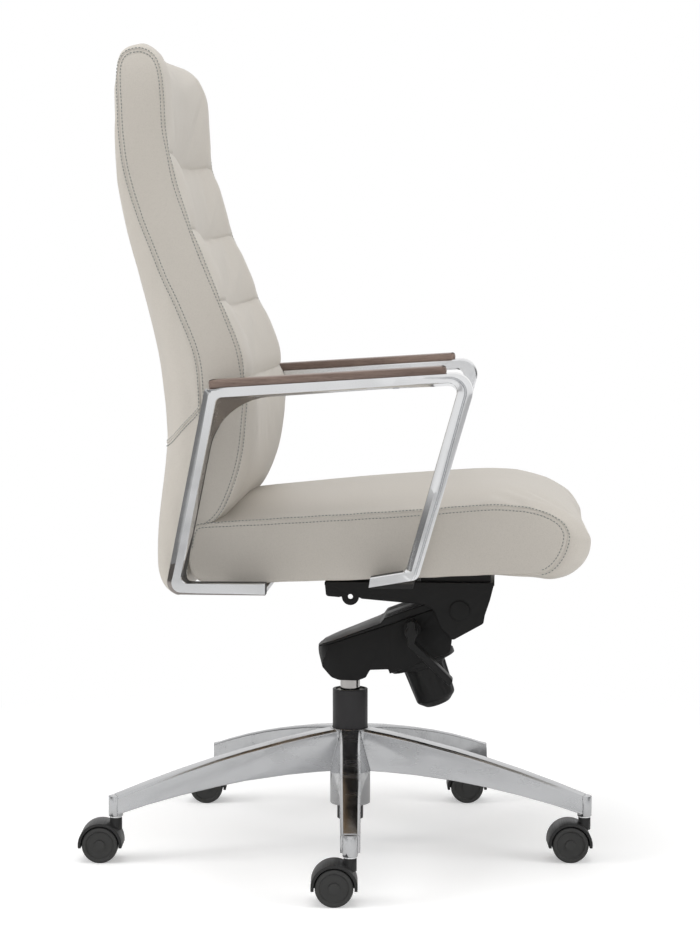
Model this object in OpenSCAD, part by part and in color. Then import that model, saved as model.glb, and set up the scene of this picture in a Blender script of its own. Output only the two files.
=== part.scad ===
// Swivel office chair: five-star castor base, gas lift, knee-tilt mechanism,
// upholstered seat and high back, and two closed aluminium arms with wooden caps.
// Origin: the swivel axis at the floor.  +Z is up and the chair faces -Y.

/* [Base] */
// Distance from the swivel axis to each castor stem
leg_reach = 342; // [310:1:370]
// Height of the hub's top face above the floor
hub_top = 168.5; // [160:0.5:176]
// Height of the hub's bottom face above the floor
hub_bottom = 58; // [50:1:66]
// Outer diameter of the hub's round boss
hub_d = 57.4; // [55:0.2:64]
// Height of a leg's top edge where it meets the castor boss
leg_tip_top = 91.5; // [86:0.5:96]
// Depth of a leg at its tip
leg_tip_depth = 25.5; // [20:0.5:30]
// Depth of a leg where it leaves the hub
leg_root_depth = 57; // [48:1:62]
// Half of the flat on top of a leg at the hub
leg_flat_root = 12; // [9:0.5:14]
// Half of the flat on top of a leg at the tip
leg_flat_tip = 9; // [6:0.5:10]
// Width of the bevel along each top edge of a leg
leg_bevel = 3.4; // [2:0.2:5]
// How far a leg's side flares out, per millimetre down, beside the hub
leg_flare = 0.36; // [0.2:0.02:0.42]
// Distance from the axis at which the flare dies into the leg's side
flare_reach = 159; // [120:1:200]
// Wall of the hollow underside of a leg
leg_wall = 4; // [3:0.5:5]
// Diameter of the castor boss at a leg's tip
boss_d = 20; // [18:0.5:24]
// Number of legs
legs = 5; // [5:1:5]
// Turn of the base under the seat, in degrees
base_turn = 3.6; // [0:0.2:36]

/* [Castors] */
// Diameter of a castor wheel
wheel_d = 50; // [45:1:54]
// Width of one wheel
wheel_w = 19; // [14:0.5:22]
// Distance from the stem to the wheel axle, measured level
castor_trail = 20.7; // [18:0.5:24]
// Thickness of the web between the two wheels
web_t = 8; // [6:0.5:12]
// Wall of the fender over the wheels
fender_t = 4; // [3:0.5:5]
// Space between a wheel's tread and its fender
fender_gap = 1.4; // [0.8:0.2:3]
// Height at which a fender ends, below the wheel's centre
fender_drop = 4; // [1:0.5:8]
// Diameter of the castor's stem
stem_d = 11; // [9:0.5:12]
// Diameter of the neck that turns on the stem
neck_d = 17; // [15:0.5:19]
// Diameter of the wheel axle
castor_axle_d = 6; // [5:0.5:8]

/* [Gas lift] */
// Outer diameter of the column tube
column_d = 50; // [50:0.5:52]
// Height of column tube that shows above the hub
column_show = 54.5; // [45:0.5:75]
// Wall of the column tube
column_wall = 2.5; // [2:0.25:3]
// Diameter of the column's lower end, under the hub
column_end_d = 37.2; // [34:0.2:42]
// Length of the column's lower end, under the hub
column_end_l = 22; // [16:1:28]
// How much the column's radius shrinks through the hub
column_taper = 1.5; // [1:0.1:2]
// Diameter of the gas cylinder
gas_d = 28; // [26:0.5:30]
// Gas cylinder that shows between column and mechanism
gas_show = 11.5; // [11:0.5:40]
// Diameter of the piston rod
piston_rod_d = 10; // [8:0.5:12]
// Wall of the gas cylinder
gas_wall = 3; // [2:0.5:4]
// Height of the socket that takes the gas cylinder's cone
socket_h = 48; // [44:1:52]
// Diameter of the valve pin
valve_pin_d = 6; // [5:0.5:8]

/* [Mechanism] */
// Slope of the tilt housing, in degrees
housing_slope = 20; // [17:0.5:22]
// Half the width of the tilt housing at the knee
housing_half = 58; // [54:1:62]
// Wall of the tilt housing
housing_wall = 4; // [3:0.5:5]
// Distance of the knee axle in front of the swivel axis
knee_f = 157; // [152:1:162]
// Height of the knee axle above the mechanism's foot
knee_h = 111.5; // [108:0.5:114]
// Diameter of the knee axle
knee_d = 16; // [12:1:18]
// Radius of the housing's nose round the knee axle
nose_r = 19; // [18:0.5:21]
// Wall of the cover on top of the housing
cover_wall = 3; // [2:0.5:4]
// Diameter of the tension knob at its mouth
knob_d = 61.6; // [58:0.2:66]
// Length of the tension knob
knob_l = 63; // [58:1:70]
// Diameter of the round spring cover above the knob
spring_cover_d = 94; // [84:1:100]
// Thickness of the round spring cover
spring_cover_t = 8; // [6:0.5:10]
// Mean diameter of the tension spring
spring_d = 34; // [30:0.5:36]
// Diameter of the spring's wire
spring_wire = 4.6; // [3:0.2:5]
// Turns of the tension spring
spring_turns = 7; // [5:1:8]
// Diameter of the tension screw
tension_screw_d = 12; // [10:0.5:14]
// Distance of the lever's pivot in front of the swivel axis
lever_f = 91; // [88:1:94]
// Height of the lever's pivot above the mechanism's foot
lever_h = 84; // [82:0.5:86]
// Diameter of the lever's rod
lever_d = 10; // [8:0.5:11]
// Thickness of the lever's handle
handle_t = 10; // [8:0.5:13]
// Width of the lever's handle
handle_w = 26; // [20:1:32]
// How far the lever pushes in to lock the tilt
lock_travel = 12; // [8:1:12]

/* [Seat bracket] */
// Height of the seat bracket's top above the mechanism's foot
bracket_h = 150.5; // [148:0.5:156]
// Half the outer width of the seat bracket
bracket_half = 76; // [74:1:80]
// Thickness of the bracket's pressed plate
bracket_t = 4; // [3:0.5:4]
// Distance of the rear tab's hole in front of the swivel axis
tab_f = 5; // [2:1:10]
// Radius of the rear tab
tab_r = 12; // [10:0.5:14]
// Diameter of the hole through both rear tabs
tab_hole_d = 7; // [5:0.5:9]
// Height of the spacers between bracket and seat, on the swivel axis
spacer_h = 23; // [18:1:30]

/* [Seat] */
// Width of the seat cushion
seat_w = 514; // [490:1:516]
// How far the seat reaches in front of the swivel axis
seat_front = 334; // [322:1:350]
// How far the seat reaches behind the swivel axis
seat_rear = 196; // [190:1:197]
// Slope of the seat pan, in degrees
seat_slope = 2.3; // [0:0.1:4]
// Thickness of the seat pan
pan_t = 12; // [9:0.5:15]
// Margin of the cushion round the seat pan
pan_margin = 32; // [26:1:45]
// Height of the cushion's crown above the pan's underside
seat_crown = 118; // [110:1:126]
// Radius of the cushion's front roll
seat_roll_r = 52; // [46:1:56]
// Radius of the cushion's corners seen from above
seat_corner_r = 55; // [40:1:70]
// Radius of the cushion's long top edges
seat_edge_r = 22; // [12:1:30]

/* [Back] */
// How much narrower than the seat the back is at its foot
back_inset_low = 2; // [0:1:34]
// How much narrower than the seat the back is at its top
back_inset_top = 44; // [14:1:94]
// Height of the back's top above the pan's underside
back_top = 702; // [670:1:730]
// Height of the back's bottom edge, below the pan's underside
back_drop = 18; // [14:1:24]
// Thickness of the back's board
back_board_t = 10; // [8:0.5:14]
// Radius of the back's corners seen from the front
back_corner_r = 60; // [40:1:80]
// Thickness of the two flat bars that carry the back
back_bar_t = 6; // [5:0.5:7]
// Width of each flat bar
back_bar_w = 40; // [30:1:50]
// Distance between the two flat bars
back_bar_pitch = 200; // [160:1:260]

/* [Arms] */
// Space between the seat cushion and each arm
arm_gap = 14; // [11:1:23]
// Width of the aluminium band
arm_w = 50; // [46:1:53]
// Thickness of the arm's rear leg
arm_rear_t = 16; // [13:0.5:18]
// Thickness of the arm's front leg
arm_front_t = 19; // [16:0.5:21]
// Thickness of the arm's top bar
arm_top_t = 13; // [11:0.5:15]
// Height of the top bar's upper face over the rear leg, above the pan's underside
arm_rear_h = 256; // [246:1:266]
// Height of the top bar's upper face over the front leg
arm_front_h = 275; // [262:1:285]
// Thickness of the wooden cap
cap_t = 10.5; // [8:0.5:14]
// Length of the wooden cap
cap_l = 306; // [290:1:312]
// Bevel along the edges of the arm's legs
arm_bevel = 3; // [1.5:0.5:4]
// Thickness of the tab under the seat pan
arm_tab_t = 6; // [4:0.5:7]
// Length of the tab under the seat pan
arm_tab_l = 56; // [50:1:62]

/* [Fasteners] */
// Diameter of the arm and bracket bolts
bolt_d = 8; // [6:0.5:9]
// Height of a bolt's head
bolt_head_h = 5; // [3:0.5:6]
// Diameter of the screws in the wooden caps
cap_screw_d = 5; // [4:0.5:6]

/* [Fits] */
// Radial clearance of a part that turns or slides in another
running_gap = 0.05; // [0.02:0.01:0.09]
// Space between parts that pass each other
part_gap = 0.4; // [0.3:0.05:0.6]

/* [Hidden] */
$fn = 48;
eps = 0.01;

// Colours
polished = [0.78, 0.79, 0.80];
chromed = [0.85, 0.86, 0.87];
black = [0.10, 0.10, 0.11];
charcoal = [0.20, 0.20, 0.21];
steel = [0.55, 0.56, 0.58];
leather = [0.72, 0.69, 0.64];
walnut = [0.36, 0.26, 0.21];
plywood = [0.75, 0.62, 0.44];
nylon = [0.88, 0.87, 0.83];

// Heights that stack up from the floor
column_top = hub_top + column_show;
mech_z = column_top + gas_show;
pan_z = mech_z + bracket_h + spacer_h;

// ---------- shared shapes ----------

// Puts a side outline, drawn as [forward, up], across the chair's width.
module across(width) {
    rotate([0, 0, -90]) rotate([90, 0, 0]) linear_extrude(width, center = true) children();
}

// A round bar across the chair at [forward, up], from x1 to x2.
module cross_bar(place, d, x1, x2) {
    translate([x1, -place[0], place[1]]) rotate([0, 90, 0]) cylinder(d = d, h = x2 - x1);
}

// A straight stroke of thickness t between two points of an outline.
module stroke(p, q, t) {
    angle = atan2(q[1] - p[1], q[0] - p[0]);
    translate(p) rotate(angle) translate([0, -t / 2]) square([norm(q - p), t]);
}

// A rectangle with round corners, centred on the origin.
module round_rect(w, h, r) {
    square([w - 2 * r, h], center = true);
    square([w, h - 2 * r], center = true);
    for (x = [-1, 1], y = [-1, 1]) translate([x * (w / 2 - r), y * (h / 2 - r)]) circle(r);
}

// A ring about the Z axis.
module ring(d_out, d_in, z1, z2) {
    translate([0, 0, z1]) difference() {
        cylinder(d = d_out, h = z2 - z1);
        translate([0, 0, -1]) cylinder(d = d_in, h = z2 - z1 + 2);
    }
}

// A solid through matching sections, each a list of points in space.
module loft(sections) {
    n = len(sections[0]);
    last = len(sections) - 1;
    polyhedron(
        points = [for (s = sections) each s],
        faces = concat(
            [[for (i = [n - 1:-1:0]) i]],
            [for (k = [0:last - 1], i = [0:n - 1])
                [k * n + i, k * n + (i + 1) % n, (k + 1) * n + (i + 1) % n, (k + 1) * n + i]],
            [[for (i = [0:n - 1]) last * n + i]]));
}

// The arc that rounds the corner p between its neighbours a and b.
function corner_arc(a, p, b, r, steps = 5) =
    let (u = (a - p) / norm(a - p), v = (b - p) / norm(b - p),
         half = acos(max(-1, min(1, u * v))) / 2, middle = p + (u + v) / norm(u + v) * r / sin(half),
         from = p + u * r / tan(half) - middle, to = p + v * r / tan(half) - middle,
         start = atan2(from[1], from[0]), turn = atan2(from[0] * to[1] - from[1] * to[0], from * to))
    [for (i = [0:steps]) middle + r * [cos(start + turn * i / steps), sin(start + turn * i / steps)]];

// An outline whose rows are [forward, up, corner radius]; radius 0 keeps the corner sharp.
function rounded(rows) = [for (i = [0:len(rows) - 1])
    let (n = len(rows), a = rows[(i + n - 1) % n], p = rows[i], b = rows[(i + 1) % n])
    each (p[2] > 0 ? corner_arc([a[0], a[1]], [p[0], p[1]], [b[0], b[1]], p[2]) : [[p[0], p[1]]])];

// ---------- base ----------

leg_start = 16;
leg_angles = [for (i = [0:legs - 1]) 180 + base_turn + i * 360 / legs];
leg_crown = 8.8;            // how much a leg's top edge bows up in its middle
channel_start = 48;         // where the hollow underside begins
boss_bottom = leg_tip_top - leg_tip_depth - 4;
boss_top = leg_tip_top - 1;

function leg_share(r) = (r - leg_start) / (leg_reach - leg_start);
function leg_top(r) = hub_top + (leg_tip_top - hub_top) * leg_share(r)
    + leg_crown * 4 * leg_share(r) * (1 - leg_share(r));
function leg_depth(r) = leg_tip_depth + (leg_root_depth - leg_tip_depth)
    * pow(1 - leg_share(r), 1.15);
function leg_bottom(r) = leg_top(r) - leg_depth(r);
function leg_flat(r) = leg_flat_root + (leg_flat_tip - leg_flat_root) * leg_share(r);
fold_least = 3;             // the least height of a leg's lower side face
function flare_fold(r) = let (s = min(1, r / flare_reach))
    max(leg_bottom(r) + fold_least, (leg_top(r) - leg_bevel) * (1 - s) + leg_bottom(r) * s);
foot_spread = 0.8;          // how much wider a leg is at its very foot
function leg_foot_half(r, half) = half + foot_spread
    + leg_flare * (flare_fold(r) - leg_bottom(r) - fold_least);

// One cross-section of a leg at radius r, shrunk all round by inset and let down by drop.
function leg_section(r, inset, drop) =
    let (flat = leg_flat(r) - inset, half = leg_flat(r) + leg_bevel - inset,
         top = leg_top(r) - inset, shoulder = top - leg_bevel,
         fold = min(flare_fold(r), shoulder - 1), foot = leg_foot_half(r, half),
         bottom = leg_bottom(r) - drop)
    [[r, -foot, bottom], [r, -half, fold], [r, -half, shoulder], [r, -flat, top],
     [r, flat, top], [r, half, shoulder], [r, half, fold], [r, foot, bottom]];

leg_stations = [leg_start, 60, 100, flare_reach, 200, 250, 300, leg_reach];
channel_stations = [channel_start, 100, flare_reach, 230, leg_reach - boss_d];

module leg() {
    difference() {
        loft([for (r = leg_stations) leg_section(r, 0, 0)]);
        loft([for (r = channel_stations) leg_section(r, leg_wall, 2)]);
    }
}

// The cone that seats the column in the hub, widened all round by gap.
module column_cone(gap) {
    translate([0, 0, hub_bottom]) cylinder(
        r1 = column_d / 2 - column_taper + gap, r2 = column_d / 2 + gap, h = hub_top - hub_bottom);
}

module base_spider() {
    color(polished) difference() {
        union() {
            translate([0, 0, hub_bottom]) cylinder(d = hub_d, h = hub_top - hub_bottom - 1);
            for (a = leg_angles) rotate(a) {
                leg();
                translate([leg_reach, 0, boss_bottom]) cylinder(d = boss_d, h = boss_top - boss_bottom);
            }
        }
        column_cone(0.02);
        translate([0, 0, hub_top - eps]) cylinder(d = column_d + 0.04, h = 4);
        translate([0, 0, hub_bottom - 1]) cylinder(d = column_d - 2 * column_taper + 0.04, h = 1 + eps);
        for (a = leg_angles) rotate(a) translate([leg_reach, 0, boss_bottom - 1])
            cylinder(d = stem_d, h = stem_socket + 1);
    }
}

// ---------- castors ----------

stem_socket = 20;           // depth of the stem's socket in the boss
stem_collar_t = 1.5;
stem_collar_d = neck_d;
neck_top = boss_bottom - stem_collar_t - part_gap;
neck_depth = 17;            // length of stem inside the neck
wheel_r = wheel_d / 2;
wheel_side = web_t / 2 + part_gap + 0.1;
fender_in = wheel_r + fender_gap;
fender_out = fender_in + fender_t;
fender_half = wheel_side + wheel_w;
castor_turn = base_turn + 90;
hub_dish = 2.2;             // depth of the dish in a wheel's outer face

module at_castor(i) {
    a = leg_angles[i - 1];
    translate([leg_reach * cos(a), leg_reach * sin(a), 0]) rotate(castor_turn) children();
}

// A round bar along a castor's axle, from y1 to y2.
module axle_bar(d, y1, y2) {
    translate([castor_trail, y1, wheel_r]) rotate([-90, 0, 0]) cylinder(d = d, h = y2 - y1);
}

module castor_stems() {
    color(chromed) for (i = [1:legs]) at_castor(i) union() {
        translate([0, 0, neck_top - neck_depth + 2])
            cylinder(d = stem_d, h = boss_bottom + stem_socket - neck_top + neck_depth - 2);
        translate([0, 0, boss_bottom - stem_collar_t]) cylinder(d = stem_collar_d, h = stem_collar_t);
    }
}

module castor_housing(i) {
    color(black) at_castor(i) difference() {
        union() {
            intersection() {
                union() {
                    difference() {
                        axle_bar(2 * fender_out, -fender_half, fender_half);
                        axle_bar(2 * fender_in, -fender_half - 1, fender_half + 1);
                    }
                    axle_bar(2 * fender_in + 1, -web_t / 2, web_t / 2);
                }
                translate([castor_trail - fender_out - 1, -fender_half - 1, wheel_r - fender_drop])
                    cube([2 * fender_out + 2, 2 * fender_half + 2, 2 * fender_out]);
            }
            axle_bar(castor_axle_d + 8, -web_t / 2, web_t / 2);
            difference() {
                translate([0, 0, neck_top - neck_depth]) cylinder(d = neck_d, h = neck_depth);
                axle_bar(2 * fender_in, web_t / 2, fender_half + 1);
                axle_bar(2 * fender_in, -fender_half - 1, -web_t / 2);
            }
        }
        axle_bar(castor_axle_d, -fender_half, fender_half);
        translate([0, 0, neck_top - neck_depth + 1])
            cylinder(d = stem_d + 2 * running_gap, h = neck_depth + 1);
    }
}

module castor_axle(i) {
    reach = fender_half - 5;
    color(steel) at_castor(i) axle_bar(castor_axle_d, -reach, reach);
}

// One wheel: round tread, dished face, and a blind bore open to the web.
module castor_wheel(i, side) {
    edge = 3;
    color(charcoal) at_castor(i) translate([castor_trail, 0, wheel_r]) rotate([-90 * side, 0, 0])
        translate([0, 0, wheel_side]) difference() {
            rotate_extrude() union() {
                square([wheel_r - edge, wheel_w]);
                square([wheel_r, wheel_w - edge]);
                translate([wheel_r - edge, wheel_w - edge]) circle(edge);
            }
            translate([0, 0, wheel_w - hub_dish]) difference() {
                cylinder(r1 = wheel_r - 7, r2 = wheel_r - 5, h = hub_dish + eps);
                translate([0, 0, -1]) cylinder(r = 7, h = hub_dish + 2);
            }
            translate([0, 0, -1])
                cylinder(d = castor_axle_d + 2 * running_gap, h = wheel_w - 5 + part_gap + 1);
        }
}

// ---------- gas lift ----------

column_foot = hub_bottom - column_end_l;
column_base_t = 8;
column_in_d = column_d - 2 * column_taper - 2 * column_wall;
column_end_in_d = column_end_d - 2 * column_wall;
bearing_top = column_foot + column_base_t + 6;
bush_l = 98;
gas_foot = bearing_top + 15;
socket_taper = 1.1;
piston_z = column_top - 55;

module column_tube() {
    color(black) difference() {
        union() {
            translate([0, 0, column_foot]) cylinder(d = column_end_d, h = column_end_l + 1);
            column_cone(0);
            translate([0, 0, hub_top - eps]) cylinder(d = column_d, h = column_show + eps);
        }
        translate([0, 0, hub_bottom + 4]) cylinder(d = column_in_d, h = column_top);
        translate([0, 0, column_foot + column_base_t]) cylinder(d = column_end_in_d, h = column_end_l);
        translate([0, 0, column_foot - 1])
            cylinder(d = piston_rod_d + 2 * running_gap, h = column_base_t + 2);
    }
}

module guide_bush() {
    color(nylon) ring(column_in_d, gas_d + 2 * running_gap, column_top - bush_l, column_top - 2);
}

module thrust_bearing() {
    color(steel) ring(column_end_in_d - 1, piston_rod_d + 2, column_foot + column_base_t, bearing_top);
}

module piston_rod() {
    color(chromed) union() {
        translate([0, 0, column_foot - 5]) cylinder(d = piston_rod_d, h = piston_z - column_foot + 5);
        translate([0, 0, bearing_top + part_gap]) cylinder(d = piston_rod_d + 8, h = 3);
        translate([0, 0, piston_z]) cylinder(d = gas_d - 2 * gas_wall - 2 * running_gap, h = 7);
    }
}

module retaining_clip() {
    color(steel) ring(piston_rod_d + 9, piston_rod_d, column_foot - part_gap - 2, column_foot - part_gap);
}

module gas_cylinder() {
    cap_t = 8;
    color(chromed) difference() {
        union() {
            translate([0, 0, gas_foot]) cylinder(d = gas_d, h = mech_z - gas_foot);
            translate([0, 0, mech_z - eps])
                cylinder(r1 = gas_d / 2, r2 = gas_d / 2 - socket_taper, h = socket_h + 2 + eps);
        }
        translate([0, 0, gas_foot + cap_t])
            cylinder(d = gas_d - 2 * gas_wall, h = mech_z + socket_h - 14 - gas_foot);
        translate([0, 0, gas_foot - 1]) cylinder(d = piston_rod_d + 2 * running_gap, h = cap_t + 2);
        translate([0, 0, mech_z + 30]) cylinder(d = valve_pin_d + 2 * running_gap, h = socket_h);
    }
}

pin_foot = socket_h - 6;
pin_top = socket_h + 10;    // leaves room for the pin's stroke above the cylinder's end

module valve_pin() {
    color(steel) translate([0, 0, mech_z + pin_foot]) cylinder(d = valve_pin_d, h = pin_top - pin_foot);
}

// ---------- tilt mechanism: heights are above the foot of the tilt housing ----------

module at_mech() {
    translate([0, 0, mech_z]) children();
}

rise = tan(housing_slope);
up_axis = [-sin(housing_slope), cos(housing_slope)];    // along the tension screw
knob_f = 104.5;             // centre of the spring cover's lower face
knob_h = 27;
rear_half = 45;             // half the housing's width at the gas lift
wide_f = 62;                // where the housing reaches its full width
seam_rise = 70;             // from the housing's underside to its seam with the cover
cover_end_f = 123;
knee = [knee_f, knee_h];
lever_at = [lever_f, lever_h];

function under(f) = knob_h + spring_cover_t / cos(housing_slope) + (f - knob_f) * rise;
function seam(f) = under(f) + seam_rise;

// A point on the tension screw's line, t above the spring cover's lower face.
function on_screw(t) = [knob_f, knob_h] + t * up_axis;

// Turns a shape made about Z so that Z becomes the tension screw's line.
module on_screw_line() {
    translate([0, -knob_f, knob_h]) rotate([-housing_slope, 0, 0]) children();
}

// The housing seen from above, shrunk by inset.
module housing_plan(inset) {
    a = rear_half - inset;
    b = housing_half - inset;
    linear_extrude(200) polygon(rounded([[-a, a, a * 0.9], [a, a, a * 0.9], [a, 0, 0],
        [b, -wide_f, 30], [b, -200, 0], [-b, -200, 0], [-b, -wide_f, 30], [-a, 0, 0]]));
}

front_under_f = knee_f - 13;    // where the housing's underside turns up to its nose
foot_lift = 7;              // how far the socket's mouth lies above the mechanism's foot

housing_outline = rounded([
    [-rear_half - 1, seam(-rear_half - 1), 0], [-rear_half - 1, 48, 0], [-38, foot_lift + 16, 6],
    [-24, foot_lift + 3, 8], [-gas_d / 2 + 1, foot_lift, 0], [gas_d / 2 - 1, foot_lift, 0],
    [25, foot_lift + 5, 5], [31, foot_lift + 16, 3], [57, max(foot_lift + 18, under(57)), 2],
    [59, under(59), 0], [front_under_f, under(front_under_f), 6], [knee_f - 11, knee_h - 38, 4],
    [knee_f + nose_r, knee_h - 8, nose_r * 0.6], [knee_f + nose_r - 2, knee_h + nose_r, nose_r * 0.8],
    [knee_f - 8, knee_h + nose_r, 10], [cover_end_f, seam(cover_end_f), 0]]);

cavity_outline = rounded([
    [-rear_half + housing_wall, 190, 0], [-rear_half + housing_wall, 46, 0],
    [-33, foot_lift + 20, 6], [-21, foot_lift + 9, 6], [21, foot_lift + 9, 3],
    [27, foot_lift + 21, 3], [59, max(foot_lift + 22, under(59) + housing_wall), 2],
    [front_under_f - 6, under(front_under_f - 6) + housing_wall, 5],
    [knee_f - 11 - housing_wall, knee_h - 36, 3],
    [knee_f + nose_r - housing_wall, knee_h - 8, 9],
    [knee_f + nose_r - housing_wall, knee_h + nose_r - housing_wall, 11],
    [knee_f - 8, knee_h + nose_r - housing_wall, 4],
    [cover_end_f + 3, seam(cover_end_f) - 2, 0], [cover_end_f - 1, 190, 0]]);

bush_flange_t = 4;
bush_flange_d = 30;
bush_wall = 3;
knee_boss_l = 6;            // how far the knee bosses reach into the housing
lever_bush_wall = 4;
lever_boss_l = 6;
sleeve_d = spring_d + spring_wire + 9;                  // outer diameter of the spring's sleeve

module tilt_housing() {
    color(black) at_mech() difference() {
        intersection() {
            across(2 * housing_half + 2) polygon(housing_outline);
            housing_plan(0);
        }
        difference() {
            intersection() {
                across(2 * housing_half + 2) polygon(cavity_outline);
                housing_plan(housing_wall);
            }
            cylinder(d = gas_d + 22, h = socket_h);
            for (side = [-1, 1]) {
                x = side * (housing_half - knee_boss_l / 2 - housing_wall / 2);
                cross_bar(knee, 2 * nose_r - 6, x - knee_boss_l / 2 - housing_wall / 2,
                    x + knee_boss_l / 2 + housing_wall / 2);
            }
            cross_bar(lever_at, lever_d + 2 * lever_bush_wall + 8,
                -housing_half, -housing_half + housing_wall + lever_boss_l);
        }
        translate([0, 0, -eps]) cylinder(r1 = gas_d / 2 + 0.02,
            r2 = gas_d / 2 + 0.02 - socket_taper * socket_h / (socket_h + 2), h = socket_h + 2 * eps);
        cross_bar(knee, knee_d + 2 * (running_gap + bush_wall), -housing_half - 1, housing_half + 1);
        cross_bar(lever_at, lever_d + 2 * (lever_bush_wall + 2 * running_gap), -housing_half - 1,
            -housing_half + housing_wall + lever_boss_l + 1);
        on_screw_line() translate([0, 0, spring_cover_t - 2])
            cylinder(d = sleeve_d - 2 * sleeve_wall, h = housing_wall + 14);
    }
}

cover_crown = 5;
cover_step = 6;
cover_outline = [
    [-rear_half - 1, seam(-rear_half - 1)], [-37, seam(-37) + cover_crown - 2],
    [45, seam(45) + cover_crown],
    [51, seam(51) + cover_crown + cover_step], [112, seam(112) + cover_crown + cover_step],
    [119, seam(119) + cover_crown + 2], [cover_end_f, seam(cover_end_f)]];
cover_hollow = [
    [-rear_half + 3, seam(-rear_half) - 30], [-35, seam(-35) + cover_crown - 2 - cover_wall],
    [46, seam(46) + cover_crown - cover_wall], [52, seam(52) + cover_crown + cover_step - cover_wall],
    [111, seam(111) + cover_crown + cover_step - cover_wall],
    [cover_end_f - cover_wall, seam(cover_end_f) - 30]];
rib_count = 4;

module housing_cover() {
    color(black) at_mech() difference() {
        intersection() {
            across(2 * housing_half + 2) polygon(cover_outline);
            housing_plan(0);
        }
        intersection() {
            across(2 * housing_half + 2) polygon(cover_hollow);
            housing_plan(cover_wall);
        }
        // grooves beside the raised ribs, along the slope
        for (k = [1:rib_count], side = [-1, 1])
            translate([side * (10 + 9 * k), 0, 0]) across(3)
                polygon([[54, seam(54) + cover_crown + cover_step - 1.2], [54, seam(54) + 40],
                    [116, seam(116) + 40], [116, seam(116) + cover_crown + cover_step - 1.2]]);
    }
}

sleeve_wall = 2.4;
sleeve_l = 40;
spring_cover_bolts = 38;    // radius on which the cover's screws stand

module spring_cover() {
    color(black) at_mech() on_screw_line() difference() {
        union() {
            cylinder(d = spring_cover_d, h = spring_cover_t);
            translate([0, 0, -sleeve_l]) cylinder(d = sleeve_d, h = sleeve_l + eps);
        }
        translate([0, 0, -sleeve_l - 1])
            cylinder(d = sleeve_d - 2 * sleeve_wall, h = sleeve_l + spring_cover_t + 2);
        for (a = [45:90:315]) rotate(a) translate([spring_cover_bolts, 0, -1]) cylinder(d = 7, h = 4);
    }
}

module knee_bushes() {
    color(nylon) at_mech() for (side = [-1, 1]) difference() {
        union() {
            inner = side * (housing_half - housing_wall - knee_boss_l);
            outer = side * (housing_half + bush_flange_t);
            face = side * housing_half;
            cross_bar(knee, knee_d + 2 * (running_gap + bush_wall), min(inner, outer), max(inner, outer));
            cross_bar(knee, bush_flange_d, min(face, outer), max(face, outer));
        }
        cross_bar(knee, knee_d + 2 * running_gap, -housing_half - 20, housing_half + 20);
    }
}

knob_wall = 4.6;
knob_floor = 13;
knob_draft = 2.2;           // how much the knob's radius shrinks to its rounded end
knob_lobes = 10;
lobe_r = 16;                // radius of the hollows between the knob's lobes
lobe_depth = 0.5;

module tension_knob() {
    mouth = knob_d / 2;
    tip = mouth - knob_draft;
    color(black) at_mech() on_screw_line() difference() {
        rotate_extrude($fn = 72) polygon(rounded([
            [0, -knob_l, 0], [tip - 12, -knob_l, 10], [tip - 0.4, -knob_l + 10, 7],
            [mouth, -part_gap, 0.8], [mouth - knob_wall, -part_gap, 0.8],
            [tip - knob_wall, -knob_l + knob_floor, 0], [0, -knob_l + knob_floor, 0]]));
        for (k = [0:knob_lobes - 1]) rotate(k * 360 / knob_lobes)
            translate([tip - lobe_depth + lobe_r, 0, -knob_l - 1]) cylinder(r = lobe_r, h = knob_l - 5);
        translate([0, 0, -knob_l + 5]) cylinder(d = tension_screw_d, h = knob_l);
    }
}

nut_rest = -36;             // underside of the tension nut above the spring cover's lower face
nut_t = 6;
pad_rest = 46;              // underside of the tilt arm's pad

module tension_screw() {
    color(steel) at_mech() on_screw_line()
        translate([0, 0, -knob_l + 5]) cylinder(d = tension_screw_d, h = knob_l - 9);
}

module tension_nut() {
    color(steel) at_mech() on_screw_line() ring(sleeve_d - 2 * sleeve_wall - 2 * part_gap,
        tension_screw_d + 2 * running_gap, nut_rest, nut_rest + nut_t);
}

// The spring's wire is swept along a helix that starts and ends with a closed turn.
spring_steps = 12;
spring_sides = 6;
spring_low = nut_rest + nut_t + part_gap + spring_wire / 2;
spring_high = pad_rest - part_gap - spring_wire / 2;

closed_pitch = spring_wire + part_gap;      // rise of the closed turn at each end
open_pitch = (spring_high - spring_low - 2 * closed_pitch) / (spring_turns - 2);

function spring_rise(turn) = closed_pitch * (min(turn, 1) + max(0, turn - spring_turns + 1))
    + open_pitch * max(0, min(turn, spring_turns - 1) - 1);
function spring_point(i) = [spring_d / 2 * cos(360 * i / spring_steps),
    spring_d / 2 * sin(360 * i / spring_steps), spring_low + spring_rise(i / spring_steps)];

module tension_spring() {
    n = spring_steps * spring_turns;
    color(steel) at_mech() on_screw_line() loft([for (i = [0:n])
        let (p = spring_point(i), a = 360 * i / spring_steps, r = spring_wire / 2)
        [for (k = [0:spring_sides - 1]) let (b = 360 * k / spring_sides)
            [p[0] + r * cos(b) * cos(a), p[1] + r * cos(b) * sin(a), p[2] + r * sin(b)]]]);
}

lever_in = -24;             // the lever rod's inner end
release_in = -32;
release_t = 4;
lever_outer = -112;
bush_flange_x = -housing_half - lock_travel - 1;

module lever_bush() {
    color(nylon) at_mech() difference() {
        union() {
            cross_bar(lever_at, lever_d + 2 * (lever_bush_wall + running_gap), bush_flange_x,
                -housing_half + housing_wall + lever_boss_l + 4);
            cross_bar(lever_at, lever_d + 2 * lever_bush_wall + 6, bush_flange_x - 3, bush_flange_x);
        }
        cross_bar(lever_at, lever_d + 2 * running_gap, bush_flange_x - 4, 0);
    }
}

module lever_rod() {
    color(steel) at_mech() cross_bar(lever_at, lever_d, lever_outer + 3, lever_in);
}

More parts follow.
